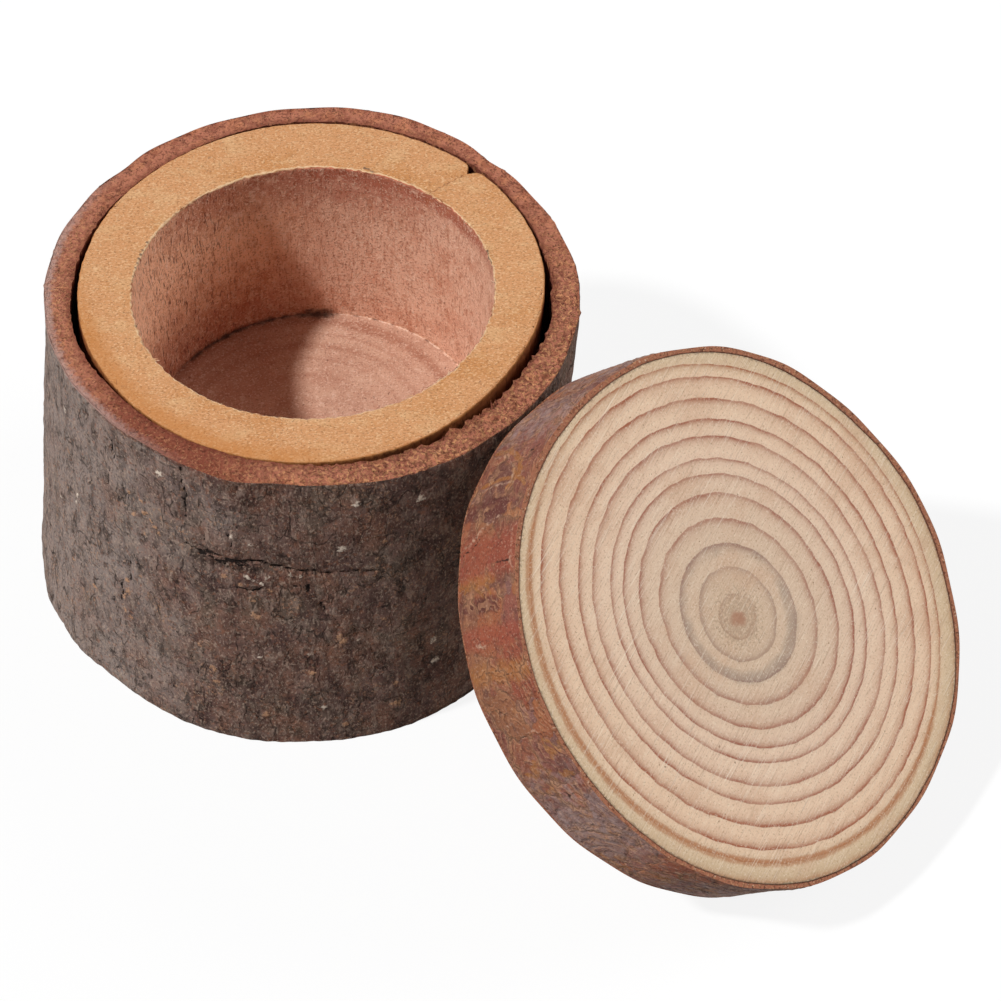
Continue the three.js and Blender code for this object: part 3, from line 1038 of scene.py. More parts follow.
@dataclass
class Box:
    """The log with its blind bore, and the loose bark shell round it."""

    nodes: dict[str, bpy.types.Object]
    bore_radius: float = 20.0
    bore_forward: float = 0.8
    bore_depth: float = 24.5
    arris: float = 0.2
    mouth_right: float = 1.1
    mouth_left: float = 0.55
    mouth_front: float = -0.3
    coarse_side: float = 316.0
    tight_side: float = 252.0
    steps: int = 576
    seed: int = 5

    def __post_init__(self) -> None:
        """Reads the box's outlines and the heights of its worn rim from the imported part."""
        self.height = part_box("box_log")[1].z / MM
        self.floor = self.height - self.bore_depth
        heights = (1.0, self.height - 1.2)
        bark = self.nodes["box_bark"]
        self.wood = Outline(self.nodes["box_log"], heights, True, 2.0)
        self.inside = Outline(bark, heights, False, 2.0)
        self.outside = Outline(bark, heights, True, 4.0)
        self.inner_lip = heights_along(bark, lambda angle: self.inside.at(angle, self.height) + 0.3)
        self.outer_lip = heights_along(bark, lambda angle: self.outside.at(angle, self.height) - 0.7)
        self.wood_radius = sum(self.wood.table[-1]) / TURN_STEPS
        self.random = random.Random(self.seed)

    def on_bark(self, azimuth: float, height: float) -> Vector:
        """Place on the bark's outer face, from an azimuth in degrees and a height."""
        return polar(self.outside.at(math.radians(azimuth), height), azimuth, height)

    def on_rim(self, azimuth: float, radius: float) -> Vector:
        """Place on the sawn rim, from an azimuth in degrees about the log's axis."""
        return polar(radius, azimuth, self.height)

    def in_bore(self, azimuth: float, height: float, beyond: float = 0.0) -> Vector:
        """Place on the bore's wall, or some way beyond it."""
        return polar(self.bore_radius + beyond, azimuth, height, self.bore_forward)

    def on_arris(self, azimuth: float) -> Vector:
        """Place on the bore's upper edge."""
        return self.in_bore(azimuth, self.height, 0.9 * self.mouth_at(azimuth))

    def on_lip(self, azimuth: float) -> Vector:
        """Finds a place on the bark's inner lip.

        Args:
            azimuth: direction in degrees.

        Returns:
            The place in millimetres.
        """
        angle = math.radians(azimuth)
        height = between(self.inner_lip, angle) - 0.05
        return polar(self.inside.at(angle, self.height) + 0.15, azimuth, height)

    def mouth_at(self, azimuth: float) -> float:
        """Tells how far the bore's mouth is flared at its edge.

        Args:
            azimuth: direction in degrees.

        Returns:
            The flare in millimetres.
        """
        return (
            self.mouth_right * bell_at(azimuth, 5, 55) + self.mouth_left * bell_at(azimuth, 180, 55)
            + self.mouth_front * bell_at(azimuth, 270, 40)
        )

    def bark_path(self, points: Sequence[Pair], wander: float) -> list[Vector]:
        """Walks over the bark from point to point, swaying a little.

        Args:
            points: azimuths in degrees and heights.
            wander: how far the path sways to each side.

        Returns:
            Close spots along the path.
        """
        spots = []
        for start, end in zip(points, points[1:]):
            count = max(2, round((self.on_bark(*end) - self.on_bark(*start)).length / 0.22))
            for azimuth, height in steps_between(start, end, count + 1)[:-1]:
                spot = self.on_bark(azimuth, height)
                sway = wander * cloud(spot, 1.6, 3.1)
                spots.append(self.on_bark(azimuth + math.degrees(sway / spot.xy.length), height + sway))
        return spots

    def build_log(self) -> None:
        """Turns the log, opens its drying check and frays the bore's edge."""
        top, floor, bore, wide = self.height, self.floor, self.bore_radius, self.wood_radius
        mesh = Blank(
            corners=[(0, 0), (wide, 0), (wide, top), (bore, top), (bore, floor), (0, floor)],
            cuts=[8, 26, 26, 40, 60], steps=self.steps, bevels={1: 0.3, 2: 0.25, 3: self.arris},
        ).spin()
        on = layers_of(mesh, ACROSS, EDGE, SPLIT_AND_PAINTED_SHADOW, STAIN_AND_PAINTED_SHADE, RUST_AND_PAINTED_SHADE, RING, OCHRE_AND_PAINTED_LIGHT, BLOOM)

        def zone_at(radius: float, height: float) -> LogZone:
            """Tells which surface of the wood a place is on.

            Args:
                radius: distance from the axis.
                height: height above the foot.

            Returns:
                The surface.
            """
            if radius > wide - 0.05:
                return LogZone.SIDE
            if height > top - self.arris or height < self.arris:
                return LogZone.SAWN
            return LogZone.WALL if radius > bore - 0.02 else LogZone.FLOOR

        sort_faces(mesh, zone_at)
        for vertex in mesh.verts:
            self.grow_log(vertex, on)
            vertex[on.bloom] = 0.08 + 0.92 * step_at(polar_of(vertex.co)[2], 168, 65, 30)
        self.mark_log(Marks(mesh), on)
        for vertex in mesh.verts:
            vertex.co.z -= 0.25 * vertex[on.split] if vertex.co.z > top - 1 else 0
        finishes = (SAWN_WOOD, LOG_SIDE, BORED_WALL, BORED_FLOOR)
        finish_piece("log_core", mesh, finishes, "box", ("box_log",))

    def grow_log(self, vertex: BMVert, on: SimpleNamespace) -> None:
        """Moves a vertex of the turned blank to the log's natural outline, and gives it its marks.

        Args:
            vertex: the vertex, in millimetres.
            on: the layers that take the marks.
        """
        spot, height = vertex.co, vertex.co.z
        radius, angle, azimuth, out = polar_of(spot)
        share = max(0.0, (radius - self.bore_radius) / (self.wood_radius - self.bore_radius))
        in_depth = height > self.floor - TINY
        grown = radius + share * (self.wood.at(angle, height) - self.wood_radius)
        if in_depth and radius > self.bore_radius - TINY and share < 1:
            grown += self.mouth_at(azimuth) * (1 - share) * smooth_step(self.floor, self.height + 6, height)
        drying_check = bell_at(azimuth, 46, 1.1) * share ** 6
        grown -= 0.9 * drying_check
        if share > 0.98:
            grown += 0.06 * cloud(spot, 0.9, 2.0, (1, 1, 9)) + 0.05 * cloud(spot, 0.5, 4.0)
            vertex[on.ochre] = smooth_step(self.height - 1.2, self.height - 0.3, height)
        vertex[on.across] = smooth_step(0.9, 1.0, share)
        if height > self.height - 2 and share < 0.4:
            from_arris = math.hypot(max(radius - self.bore_radius, 0), self.height - height)
            vertex[on.edge] = bell(from_arris, 0.24)
            grown += bell(from_arris, 0.5) * (0.22 * cloud(spot, 0.4, 7.0) + 0.1 * cloud(spot, 1.4, 1.0))
        if radius < self.bore_radius + TINY and abs(height - self.floor) < TINY:
            from_pip = math.hypot(spot.x + 1.5, spot.y - 0.5)
            circles = max(strong * bell(from_pip - place, wide) for place, wide, strong in (
                (18.3, 0.9, 1.1), (16.1, 0.4, 0.6), (14.2, 0.7, 0.7),
                (12.0, 0.4, 0.5), (9.2, 0.6, 0.5), (5.2, 0.5, 0.4),
            ))
            vertex[on.ring] = circles * (0.9 + 0.5 * cloud(spot, 7, 3.0))
            # Painted shade: the floor turns redder and darker towards the left, under the rim's shadow.
            vertex[on.rust] = smooth_step(5, -12, spot.x)
        vertex.co = out * grown + UP * height
        if in_depth and share < 1:
            vertex.co.y -= self.bore_forward * (1 - share)
        if height > self.height - TINY:
            eased = smooth_step(0.93, 1.0, share) * step_at(azimuth, self.coarse_side, 60, 20)
            vertex.co.z += 0.03 * cloud(spot, 0.8, 5.0) - 0.3 * eased
            vertex[on.ochre] = step_at(azimuth, 232, 85, 25) * (0.35 + 0.65 * smooth_step(0.3, 1.0, share))
        if radius > self.bore_radius - TINY and share < 0.01:
            risen = smooth_step(self.floor - 4, self.floor + 14, height)
            # Painted light, partly the wood's own honey tone: the shaded left wall turns paler towards the
            # top.
            vertex[on.ochre] = step_at(azimuth, 158, 80, 25) * risen
            depth = self.height - height
            # Redder near the top towards the back; the last term is painted shade, deepening towards the
            # floor on the shaded left-back wall.
            vertex[on.rust] = max(
                smooth_step(3.4, 0.8, depth) * step_at(azimuth, 60, 65, 20),
                0.55 * smooth_step(10, 2, depth) * step_at(azimuth, 100, 70, 30),
                0.45 * smooth_step(6, self.bore_depth - 2, depth) * step_at(azimuth, 140, 65, 25),
            )

    def mark_log(self, marks: Marks, on: SimpleNamespace) -> None:
        """Marks the rim's hairline and blemishes, the wall's pale streaks, and painted shade along the
        floor's corner.

        Args:
            marks: lays marks on the log's vertices.
            on: the layers that take the marks.
        """
        hairline = [self.on_rim(*place) for place in steps_between((46, 26.4), (48.5, 20.2), 40)]
        marks.lay(on.split, hairline, 0.22, 0.9)
        marks.lay(on.stain, [self.on_rim(70.5 + i * 0.8, 19.75 + 0.08 * i) for i in range(5)], 0.3, 0.75)
        marks.lay(on.stain, [self.on_rim(azimuth, 20.4) for azimuth in range(158, 180, 2)], 0.3, 0.75)
        marks.lay(on.stain, [self.on_rim(azimuth, 20.1) for azimuth in range(95, 156, 3)], 0.25, 0.4)
        reds = ((38, 26.2), (37, 25.9), (62, 26.4), (60, 26.3))
        marks.lay(on.rust, [self.on_rim(*place) for place in reds], 0.35, 0.75)
        # Painted shade: a dark band along the wall's foot on the shaded side, strongest in the middle, then a
        # dark blotch in the floor's back corner.
        for azimuth in range(92, 152):
            strength = 0.85 - 0.75 * ((azimuth - 122) / 42) ** 2 + 0.35 * noise.noise((azimuth * 0.4, 0, 0))
            marks.lay(on.stain, [self.in_bore(azimuth, self.floor + 0.1)], 0.55, strength)
        back = self.bore_radius - self.bore_forward - 0.25
        for step in range(8):
            spot = Vector((-2.4 + 0.45 * step, back, self.floor + 0.15 + 0.1 * (step % 3)))
            marks.lay(on.stain, [spot], 0.75, 0.95 - 0.06 * abs(step - 4))
        for azimuth, low in ((113, 4.2), (110, 3.0), (96, 6.5), (104, 2.0), (88, 3.5)):
            for step in range(16):
                turned = azimuth + 1.2 * noise.noise((azimuth, 0.35 * step, 0))
                marks.lay(on.edge, [self.in_bore(turned, self.height - low * step / 15, 0.2)], 0.2, 0.75)
        for azimuth in range(28, 86):
            spots = [self.in_bore(azimuth, self.floor + 0.1)]
            if azimuth % 7 in (1, 2):
                marks.lay(on.stain, spots, 0.35, 0.6)
            else:
                marks.lay(on.edge, spots, 0.3, 0.85)

    def build_bark(self) -> None:
        """Turns the bark shell, which clings near the foot, carves its scars and roughens its sawn rim."""
        inner, outer, top = self.wood_radius + 0.3, self.wood_radius + 3.6, self.height
        mesh = Blank(
            corners=[(outer, 0), (outer, top), (inner, top), (inner, 0)], cuts=[126, 13, 12, 5],
            steps=self.steps, is_ring=True, bevels={1: 0.18},
        ).spin()
        on = layers_of(mesh, SPLIT_AND_PAINTED_SHADOW, PALE, OCHRE_AND_PAINTED_LIGHT, BLOOM, RUST_AND_PAINTED_SHADE, ACROSS, GRIT, STAIN_AND_PAINTED_SHADE)

        def zone_at(radius: float, height: float) -> BarkZone:
            """Tells which surface of the bark a place is on.

            Args:
                radius: distance from the axis.
                height: height above the foot.

            Returns:
                The surface.
            """
            if top - 0.1 < height or height < 0.01:
                return BarkZone.CUT
            return BarkZone.OUTSIDE if radius > inner + 1 else BarkZone.INSIDE

        sort_faces(mesh, zone_at)
        outside = []
        for vertex in mesh.verts:
            radius = math.hypot(vertex.co.x, vertex.co.y)
            share = min(max((radius - inner) / (outer - inner), 0.0), 1.0)
            if share > 0.95 and vertex.co.z < top - 0.3:
                outside.append((vertex, polar_of(vertex.co)[3]))
            self.grow_bark(vertex, share, on)
        self.mark_bark(Marks(mesh), on)
        for vertex, out in outside:
            spot = vertex.co
            swell = 0.16 * cloud(spot, 7, 1.0, (1, 1, 1.5)) + 0.1 * cloud(spot, 2.2, 2.0, (1, 1, 2.0))
            ridges = 0.09 * cloud(spot, 0.9, 3.0, (1, 1, 1.8))
            bent = spot + Vector((1.5, 1.5, 1.5)) * cloud(spot, 3.0, 31.0)
            fissure = bell(cloud(bent, 2.6, 21.0, (1, 1, 2.2)), 0.04)
            fissure *= smooth_step(0.15, 0.35, cloud(spot, 5, 22.0))
            vertex[on.split] = max(vertex[on.split], 0.45 * fissure)
            lumps = 0.12 * vertex[on.pale] + 0.08 * vertex[on.ochre] - 0.45 * vertex[on.split]
            vertex.co += out * (swell + ridges + lumps)
        finishes = (WEATHERED_BARK, CUT_BARK, INNER_BARK)
        finish_piece("bark_shell", mesh, finishes, "box", ("box_bark",))

    def grow_bark(self, vertex: BMVert, share: float, on: SimpleNamespace) -> None:
        """Moves a vertex of the turned blank to the bark's natural outline, and gives it its marks.

        Args:
            vertex: the vertex, in millimetres.
            share: how far through the bark it lies, from 0 inside to 1 outside.
            on: the layers that take the marks.
        """
        top, spot, height = self.height, vertex.co, vertex.co.z
        _, angle, azimuth, out = polar_of(spot)
        low, high = self.inside.at(angle, height), self.outside.at(angle, height)
        gap = low - self.wood.at(angle, height)
        lip = between(self.inner_lip, angle) * (1 - share) + between(self.outer_lip, angle) * share
        tight = bell_at(azimuth, self.tight_side, 34)
        lip += 0.25 * tight
        tight = max(tight, 1.4 * bell_at(azimuth, 136, 22), bell_at(azimuth, 218, 10))
        room = max(gap - 0.02, 0)
        closed = min(0.25 * tight, room) * smooth_step(top - 4, top, height)
        closed += room * smooth_step(15, 6, height)
        low -= closed
        vertex.co = out * (low + share * (high - low)) + UP * (height * lip / top)
        coarse = 0.4 + 0.6 * step_at(azimuth, self.coarse_side, 84, 24)
        vertex[on.grit] = coarse - 0.4 + 0.35 * bell_at(azimuth, 182, 32)
        vertex[on.bloom] = 0.02 + 0.98 * step_at(azimuth, 198, 80, 15) + 0.25 * cloud(spot, 6, 8.0)
        vertex[on.bloom] += 0.2 * bell_at(azimuth, 257, 16) * bell(height - 35, 7)
        if height > top - TINY:
            pits = 0.32 * cloud(spot, 0.75, 6.0) + 0.2 * cloud(spot, 1.9, 9.0)
            vertex.co.z += coarse * pits - 0.12
            worn = 0.3 * cloud(spot, 2.4, 16.0) + 0.3 * cloud(spot, 0.8, 17.0)
            vertex.co += (out * worn + UP * min(worn, 0)) * smooth_step(0.75, 1.0, share)
        if share < 0.5 and height > top - 6:
            ragged = 0.8 * cloud(spot, 1.9, 12.0) + 0.7 * cloud(spot, 0.8, 13.0)
            ragged += 0.4 * cloud(spot, 0.45, 15.0)
            fade = smooth_step(top - 6, top, height) * (1 - 2 * share)
            vertex.co -= out * (fade * coarse * min(0.75 * max(ragged, 0.0), gap - closed - 0.12))
        if height > top - 0.5:
            vertex[on.across] = share
            vertex[on.rust] = bell_at(azimuth, 238, 27)
            vertex[on.bloom] = step_at(azimuth, 192, 58, 22)

    def mark_bark(self, marks: Marks, on: SimpleNamespace) -> None:
        """Marks the bark's cracks, branch scar, pale pores, yellow-brown flecks and reddish patches, paints
        shade in a band under the main crack, and darkens a broad patch low on the front.

        Args:
            marks: lays marks on the bark's vertices.
            on: the layers that take the marks.
        """
        draw = self.random
        for path, width, strength in (
            (((243.5, 31.1), (246, 30.6), (250, 31.2), (254, 30.8), (260, 30.9), (269, 29.5)), 0.22, 0.95),
            (((246.5, 30.2), (249, 30.6), (251.5, 30.2), (255, 30.4), (258, 30.2)), 0.3, 0.8),
            (((250.5, 29.6), (252, 29.9), (253.5, 29.3)), 0.25, 0.7),
            (((269, 29.5), (272, 29.5), (279.5, 29), (284.5, 29)), 0.18, 0.75),
            (((220, 42.5), (223, 40.5), (224.5, 38)), 0.24, 0.8), (((222.5, 36), (222, 33)), 0.22, 0.7),
            (((243, 43), (244, 39), (243.5, 35)), 0.22, 0.9),
            (((254, 38), (254, 35), (254, 31.5)), 0.18, 0.85),
            (((254.5, 26), (258, 26), (260.5, 26.5)), 0.22, 0.9), (((270, 27), (270, 26)), 0.3, 0.9),
            (((272.5, 24), (273.5, 22.5)), 0.24, 0.9), (((228, 22.6), (227.6, 19)), 0.22, 0.8),
            (((225.5, 18.6), (225.2, 15)), 0.22, 0.9),
        ):
            marks.lay(on.split, self.bark_path(path, 0.4), width, strength)
        for _ in range(120):
            azimuth, height = draw.uniform(0, 360), draw.uniform(2, self.height - 2)
            length = draw.choice((1.2, 2, 3, 5))
            lean = draw.uniform(-2.5, 2.5)
            path = ((azimuth, height), (azimuth + lean, min(height + length, self.height - 0.5)))
            marks.lay(on.split, self.bark_path(path, 0.35), 0.2, draw.uniform(0.35, 0.7))
        for azimuth, height, size in (
            (238, 40.5, 0.55), (254.5, 35, 0.4), (281, 40.5, 0.5), (294.5, 39, 0.6), (277.5, 33, 0.6),
            (258.5, 34, 0.3), (259, 15, 0.35), (269.5, 15.5, 0.3), (280, 17.5, 0.3), (297, 13.6, 0.6),
            (296.8, 10.1, 0.6), (210.5, 26, 0.3), (210, 24.5, 0.3), (203.5, 22.2, 0.35), (206, 37.9, 0.4),
            (272, 6.3, 0.5), (257, 28.5, 0.35), (258.5, 28, 0.3), (260.5, 27.5, 0.35), (266.5, 29.0, 0.3),
            (268.5, 28.9, 0.35), (261.5, 28.5, 0.3),
        ):
            self.dot(marks, on.pale, azimuth, height, size)
        for azimuth, height, size in (
            (227.5, 17.5, 0.6), (226.5, 14, 0.5), (276.5, 17.5, 0.6), (258.5, 22, 0.6), (285.5, 20.5, 0.4),
            (216.5, 13.5, 0.5), (286.5, 33.5, 0.4), (232.5, 32.5, 0.4), (234.5, 32, 0.4), (236.5, 30.5, 0.4),
            (229, 34.5, 0.4), (230, 31.5, 0.5), (233, 29, 0.4), (246, 14.8, 0.4), (287.5, 5, 0.6),
            (276.5, 2.8, 0.5), (260, 4.9, 0.5), (209, 14.7, 0.4), (232, 34.2, 0.4), (233.5, 32.9, 0.35),
            (235.5, 31.4, 0.4), (227, 19.2, 0.45), (226, 16.2, 0.5), (228, 13.4, 0.45), (276, 18.6, 0.4),
            (249, 11.6, 0.45), (249.5, 9.4, 0.4), (258, 24.6, 0.4), (262, 26.3, 0.4), (270, 12.4, 0.4),
            (288, 8.5, 0.45), (252.5, 27.8, 0.4), (256, 27, 0.4),
        ):
            self.dot(marks, on.ochre, azimuth, height, size)
        for _ in range(60):
            azimuth, height = draw.uniform(-50, 200), draw.uniform(2, self.height - 2)
            layer = draw.choice((on.pale, on.ochre, on.ochre))
            self.dot(marks, layer, azimuth, height, draw.uniform(0.3, 0.6))
        marks.lay(on.rust, [self.on_bark(242, height) for height in (20, 22.5, 25)], 3.0, 0.6)
        marks.lay(on.rust, [self.on_bark(azimuth, 28.4) for azimuth in (252, 255, 258, 261, 265)], 1.0, 0.9)
        # Painted shade in a band just under the main crack.
        marks.lay(on.stain, [self.on_bark(azimuth, 29.7) for azimuth in range(246, 262, 2)], 0.9, 0.9)
        marks.lay(on.rust, [self.on_bark(231 + i, 31.5 - 2 * i) for i in range(3)], 1.0, 0.7)
        # A broad darker patch low on the front.
        marks.lay(on.stain, [self.on_bark(262, 14)], 10.0, 0.5)

    def dot(self, marks: Marks, layer: BMLayerItem, azimuth: float, height: float, size: float) -> None:
        """Marks one irregular spot on the bark.

        Args:
            marks: lays marks on the bark's vertices.
            layer: the layer that takes the mark.
            azimuth: direction in degrees.
            height: height above the ground.
            size: the spot's half width.
        """
        middle = self.on_bark(azimuth, height)
        spots = [middle]
        for _ in range(3):
            spots.append(middle + Vector([self.random.uniform(-0.6, 0.6) * size for _ in range(3)]))
        marks.lay(layer, spots, size, 0.95)

    def build_fuzz(self) -> None:
        """Raises the torn fibres that the drill left along the bore's edge."""
        mesh = bmesh.new()
        draw = self.random
        thick_spots = ((48, 8), (20, 18), (140, 14), (190, 20), (350, 14), (310, 14))
        for _ in range(420):
            azimuth = draw.uniform(0, 360)
            if draw.random() > 0.1 + max(bell_at(azimuth, place, width) for place, width in thick_spots):
                continue
            out = facing(math.radians(azimuth))
            along = Vector((-out.y, out.x, 0)) * draw.choice((-1, 1))
            way = along + out * draw.uniform(-0.7, 0.3) + UP * draw.uniform(-0.1, 0.5)
            curl = out * draw.uniform(-0.6, 0.6) + UP * draw.uniform(-0.5, 0.5)
            root = self.on_arris(azimuth) + out * draw.uniform(-0.05, 0.2) - UP * 0.04
            grow_fibre(mesh, root, way, curl, draw.uniform(0.3, 0.85), draw.uniform(0.035, 0.07))
        finish_piece("bore_arris_fibres", mesh, (TORN_FIBRE,), "box")

    def build_splinters(self) -> None:
        """Sets the splinters, curls and crumbs that stick to the gap between the wood and its bark."""
        mesh = bmesh.new()
        draw = self.random
        for azimuth, length, rise in ((318, 0.9, 0.7), (319.5, 0.6, 0.3), (314, 0.5, 0.3), (303, 0.5, 0.2)):
            spot = self.on_lip(azimuth)
            out = Vector((spot.x, spot.y, 0)).normalized()
            way = UP * rise - out * 0.5 + Vector((-out.y, out.x, 0)) * 0.4
            grow_fibre(mesh, spot + out * 0.1 - UP * 0.15, way, -out * 0.4, length, 0.19)
        groups = ((0, 16, 4), (348, 6, 4), (191, 4, 2), (214, 7, 3), (160, 14, 14), (336, 6, 5))
        for middle, count, spread in groups:
            for _ in range(count):
                azimuth = middle + draw.uniform(-spread, spread)
                wood_edge = self.wood.at(math.radians(azimuth), self.height) - 0.25
                spot = self.on_lip(azimuth) if draw.random() < 0.6 else self.on_rim(azimuth, wood_edge)
                out = Vector((spot.x, spot.y, 0)).normalized()
                along = Vector((-out.y, out.x, 0)) * draw.choice((-1, 1))
                way = along * draw.uniform(0.3, 1) + out * draw.uniform(-0.8, 0.8)
                way += UP * draw.uniform(0, 0.5)
                curl = Vector([draw.uniform(-0.9, 0.9) for _ in range(3)])
                length, thickness = draw.uniform(0.3, 0.8), draw.uniform(0.04, 0.07)
                grow_fibre(mesh, spot - UP * 0.08, way, curl, length, thickness)
        finish_piece("bark_gap_splinters", mesh, (INNER_BARK,), "box")


@dataclass
class Lid:
    """The leaning lid: a ringed slice of a branch in its bark, with a locating disc beneath."""

    nodes: dict[str, bpy.types.Object]
    pith: Pair = (-1.2, 0.4)
    ring_radii: tuple[float, ...] = (
        0.0, 2.6, 5.3, 7.9, 10.6, 13.4, 15.6, 17.3, 19.9, 21.8, 24.3, 26.8, 28.2, 30.4
    )
    seam: float = 0.3
    sapwood: float = 0.45
    thick_side: float = 108.0
    scale_rows: int = 24
    seed: int = 11

    def __post_init__(self) -> None:
        """Reads the lid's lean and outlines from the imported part."""
        slice_node, plug_node = self.nodes["lid_slice"], self.nodes["lid_plug"]
        largest = max(slice_node.data.polygons, key=lambda polygon: polygon.area)
        middle = self.middle_of(plug_node)
        face = largest.normal.copy()
        if face.dot(self.middle_of(slice_node) - middle) < 0:
            face.negate()
        level = UP.cross(face).normalized()
        heights = [vertex.co.dot(face) / MM for vertex in slice_node.data.vertices]
        self.thickness = max(heights) - min(heights)
        origin = middle + face * (min(heights) - middle.dot(face))
        axes = Matrix((level, face.cross(level), face)).transposed().to_4x4()
        self.to_part = Matrix.Translation(origin) @ axes
        to_axis = self.to_part.inverted()
        inside = (0.6, self.thickness - 0.6)
        self.wood = Outline(slice_node, inside, True, 2.0, to_axis, 4)
        self.outside = Outline(self.nodes["lid_bark"], inside, True, 2.0, to_axis, 6)
        self.radius = sum(self.wood.table[0]) / TURN_STEPS
        plug = [to_axis @ (vertex.co / MM) for vertex in plug_node.data.vertices]
        self.plug_radius = max(point.xy.length for point in plug)
        self.plug_low = min(point.z for point in plug)

    @staticmethod
    def middle_of(node: bpy.types.Object) -> Vector:
        """Middle of a node's corners, in millimetres."""
        total = sum((vertex.co for vertex in node.data.vertices), Vector())
        return total / (len(node.data.vertices) * MM)

    def on_bark(self, azimuth: float, depth: float) -> Vector:
        """Place on the lid's bark, from an azimuth in degrees and a depth below the face."""
        height = self.thickness - depth
        return polar(self.outside.at(math.radians(azimuth), height), azimuth, height)

    def wood_at(self, angle: float, height: float) -> float:
        """Tells the wood's radius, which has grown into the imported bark, less so where that is thick.

        Args:
            angle: direction in radians.
            height: height above the underside.

        Returns:
            The radius in millimetres.
        """
        thick = bell_at(math.degrees(angle), self.thick_side, 24)
        grown = self.sapwood * (1 - 0.9 * thick) + 0.08 * noise.noise((angle * 9, 0, 0))
        return self.wood.at(angle, height) + self.seam + grown

    def ring_at(self, spot: Vector) -> float:
        """Ring number at a place on the slice.

        The rings are ovals about the pith. Half-grown ones stand off towards the up-slope right, and the
        last ones follow the bark.

        Args:
            spot: place in the lid's own millimetres.

        Returns:
            The number of rings between the pith and that place, with a fraction.
        """
        x, y = spot.x - self.pith[0], spot.y - self.pith[1]
        radius, angle = math.hypot(x, y), math.atan2(y, x)
        grown = min(radius / 30, 1.0)
        way = math.radians(48 - 55 * grown)
        drift = 1.15 * math.sin(math.pi * min(grown * 0.82, 1.0)) * math.cos(angle - way)
        oval = 0.95 * smooth_step(0.0, 0.55, grown) * math.cos(2 * angle - math.radians(215))
        shifted = 0.4 * grown ** 4 * math.cos(angle - math.radians(38))
        even = max(radius - drift - shifted - oval, 0.0)
        for number, (start, end) in enumerate(zip(self.ring_radii, self.ring_radii[1:])):
            if even < end:
                return number + (even - start) / (end - start)
        return len(self.ring_radii) - 1.0

    def build_slice(self) -> None:
        """Turns the slice and gives every vertex its ring number."""
        grown, top = self.radius + self.seam + self.sapwood, self.thickness
        corners = [(0, 0), (grown, 0), (grown, top), (0, top)]
        mesh = Blank(corners, [40, 8, 90], 480, bevels={2: 0.15}).spin()
        on = layers_of(mesh, RING, EDGE, RUST_AND_PAINTED_SHADE, BLOOM, CORE, OCHRE_AND_PAINTED_LIGHT)
        for vertex in mesh.verts:
            radius, angle, azimuth, _ = polar_of(vertex.co)
            share = radius / grown
            radius *= 1 + (self.wood_at(angle, vertex.co.z) / grown - 1) * share
            vertex.co = Vector((radius * math.cos(angle), radius * math.sin(angle), vertex.co.z))
            ring = self.ring_at(vertex.co)
            from_pith = math.hypot(vertex.co.x - self.pith[0], vertex.co.y - self.pith[1])
            uneven = from_pith * (1 + 0.5 * cloud(vertex.co, 1.1, 6.0))
            vertex[on.ring] = ring
            vertex[on.edge] = smooth_step(0.97, 1.0, share)
            vertex[on.rust] = max(bell(uneven, 1.0), 0.12 * bell(from_pith - 2.3, 0.5))
            vertex[on.core] = bell(from_pith, 6.0)
            greyed = 0.45 + 0.55 * step_at(azimuth, 250, 150, 60)
            vertex[on.bloom] = greyed * max(0.9 * bell(ring - 2.75, 0.4), 0.4 * bell(ring - 3.9, 0.25))
            vertex[on.ochre] = bell(ring - 11.95, 0.29) * (0.15 + 0.95 * step_at(azimuth, 210, 120, 70))
            if vertex.co.z > top - TINY:
                vertex.co.z += 0.02 * cloud(vertex.co, 1.2, 2.0)
        self.finish("lid_slice_wood", mesh, (SLICE_FACE,), "slice_wood", "lid_slice")

    def build_bark(self) -> None:
        """Turns the lid's bark and carves its flakes."""
        inner, outer, top = self.radius + self.seam, self.radius + 1.4, self.thickness
        mesh = Blank(
            corners=[(outer, 0), (outer, top), (inner, top), (inner, 0)], cuts=[46, 6, 3, 6], steps=680,
            is_ring=True, bevels={0: 0.15, 1: 0.15},
        ).spin()
        on = layers_of(mesh, FLAKE, RUST_AND_PAINTED_SHADE, BLOOM, ACROSS, OCHRE_AND_PAINTED_LIGHT, STAIN_AND_PAINTED_SHADE, FIBRE, SPLIT_AND_PAINTED_SHADOW, PALE)

        def zone_at(radius: float, height: float) -> BarkZone:
            """Tells which surface of the bark a place is on.

            Args:
                radius: distance from the axis.
                height: height above the underside.

            Returns:
                The surface.
            """
            if not 0.05 < height < top - 0.05:
                return BarkZone.CUT
            return BarkZone.OUTSIDE if radius > inner + 0.5 else BarkZone.INSIDE

        sort_faces(mesh, zone_at)
        for vertex in mesh.verts:
            radius = math.hypot(vertex.co.x, vertex.co.y)
            self.grow_bark(vertex, min(max((radius - inner) / (outer - inner), 0.0), 1.0), on)
        marks = Marks(mesh)
        for points, width, strength, layer in self.flaps(on):
            for start, end in zip(points, points[1:]):
                spots = [self.on_bark(*place) for place in steps_between(start, end, 16)]
                spots = [spot + UP * (0.4 * cloud(spot, 0.9, 5.0)) for spot in spots]
                marks.lay(layer, spots, width, strength)
        finishes = (FLAKY_BARK, FLAKY_BARK_CUT, INNER_BARK)
        self.finish("lid_bark_ring", mesh, finishes, "slice_bark", "lid_bark")

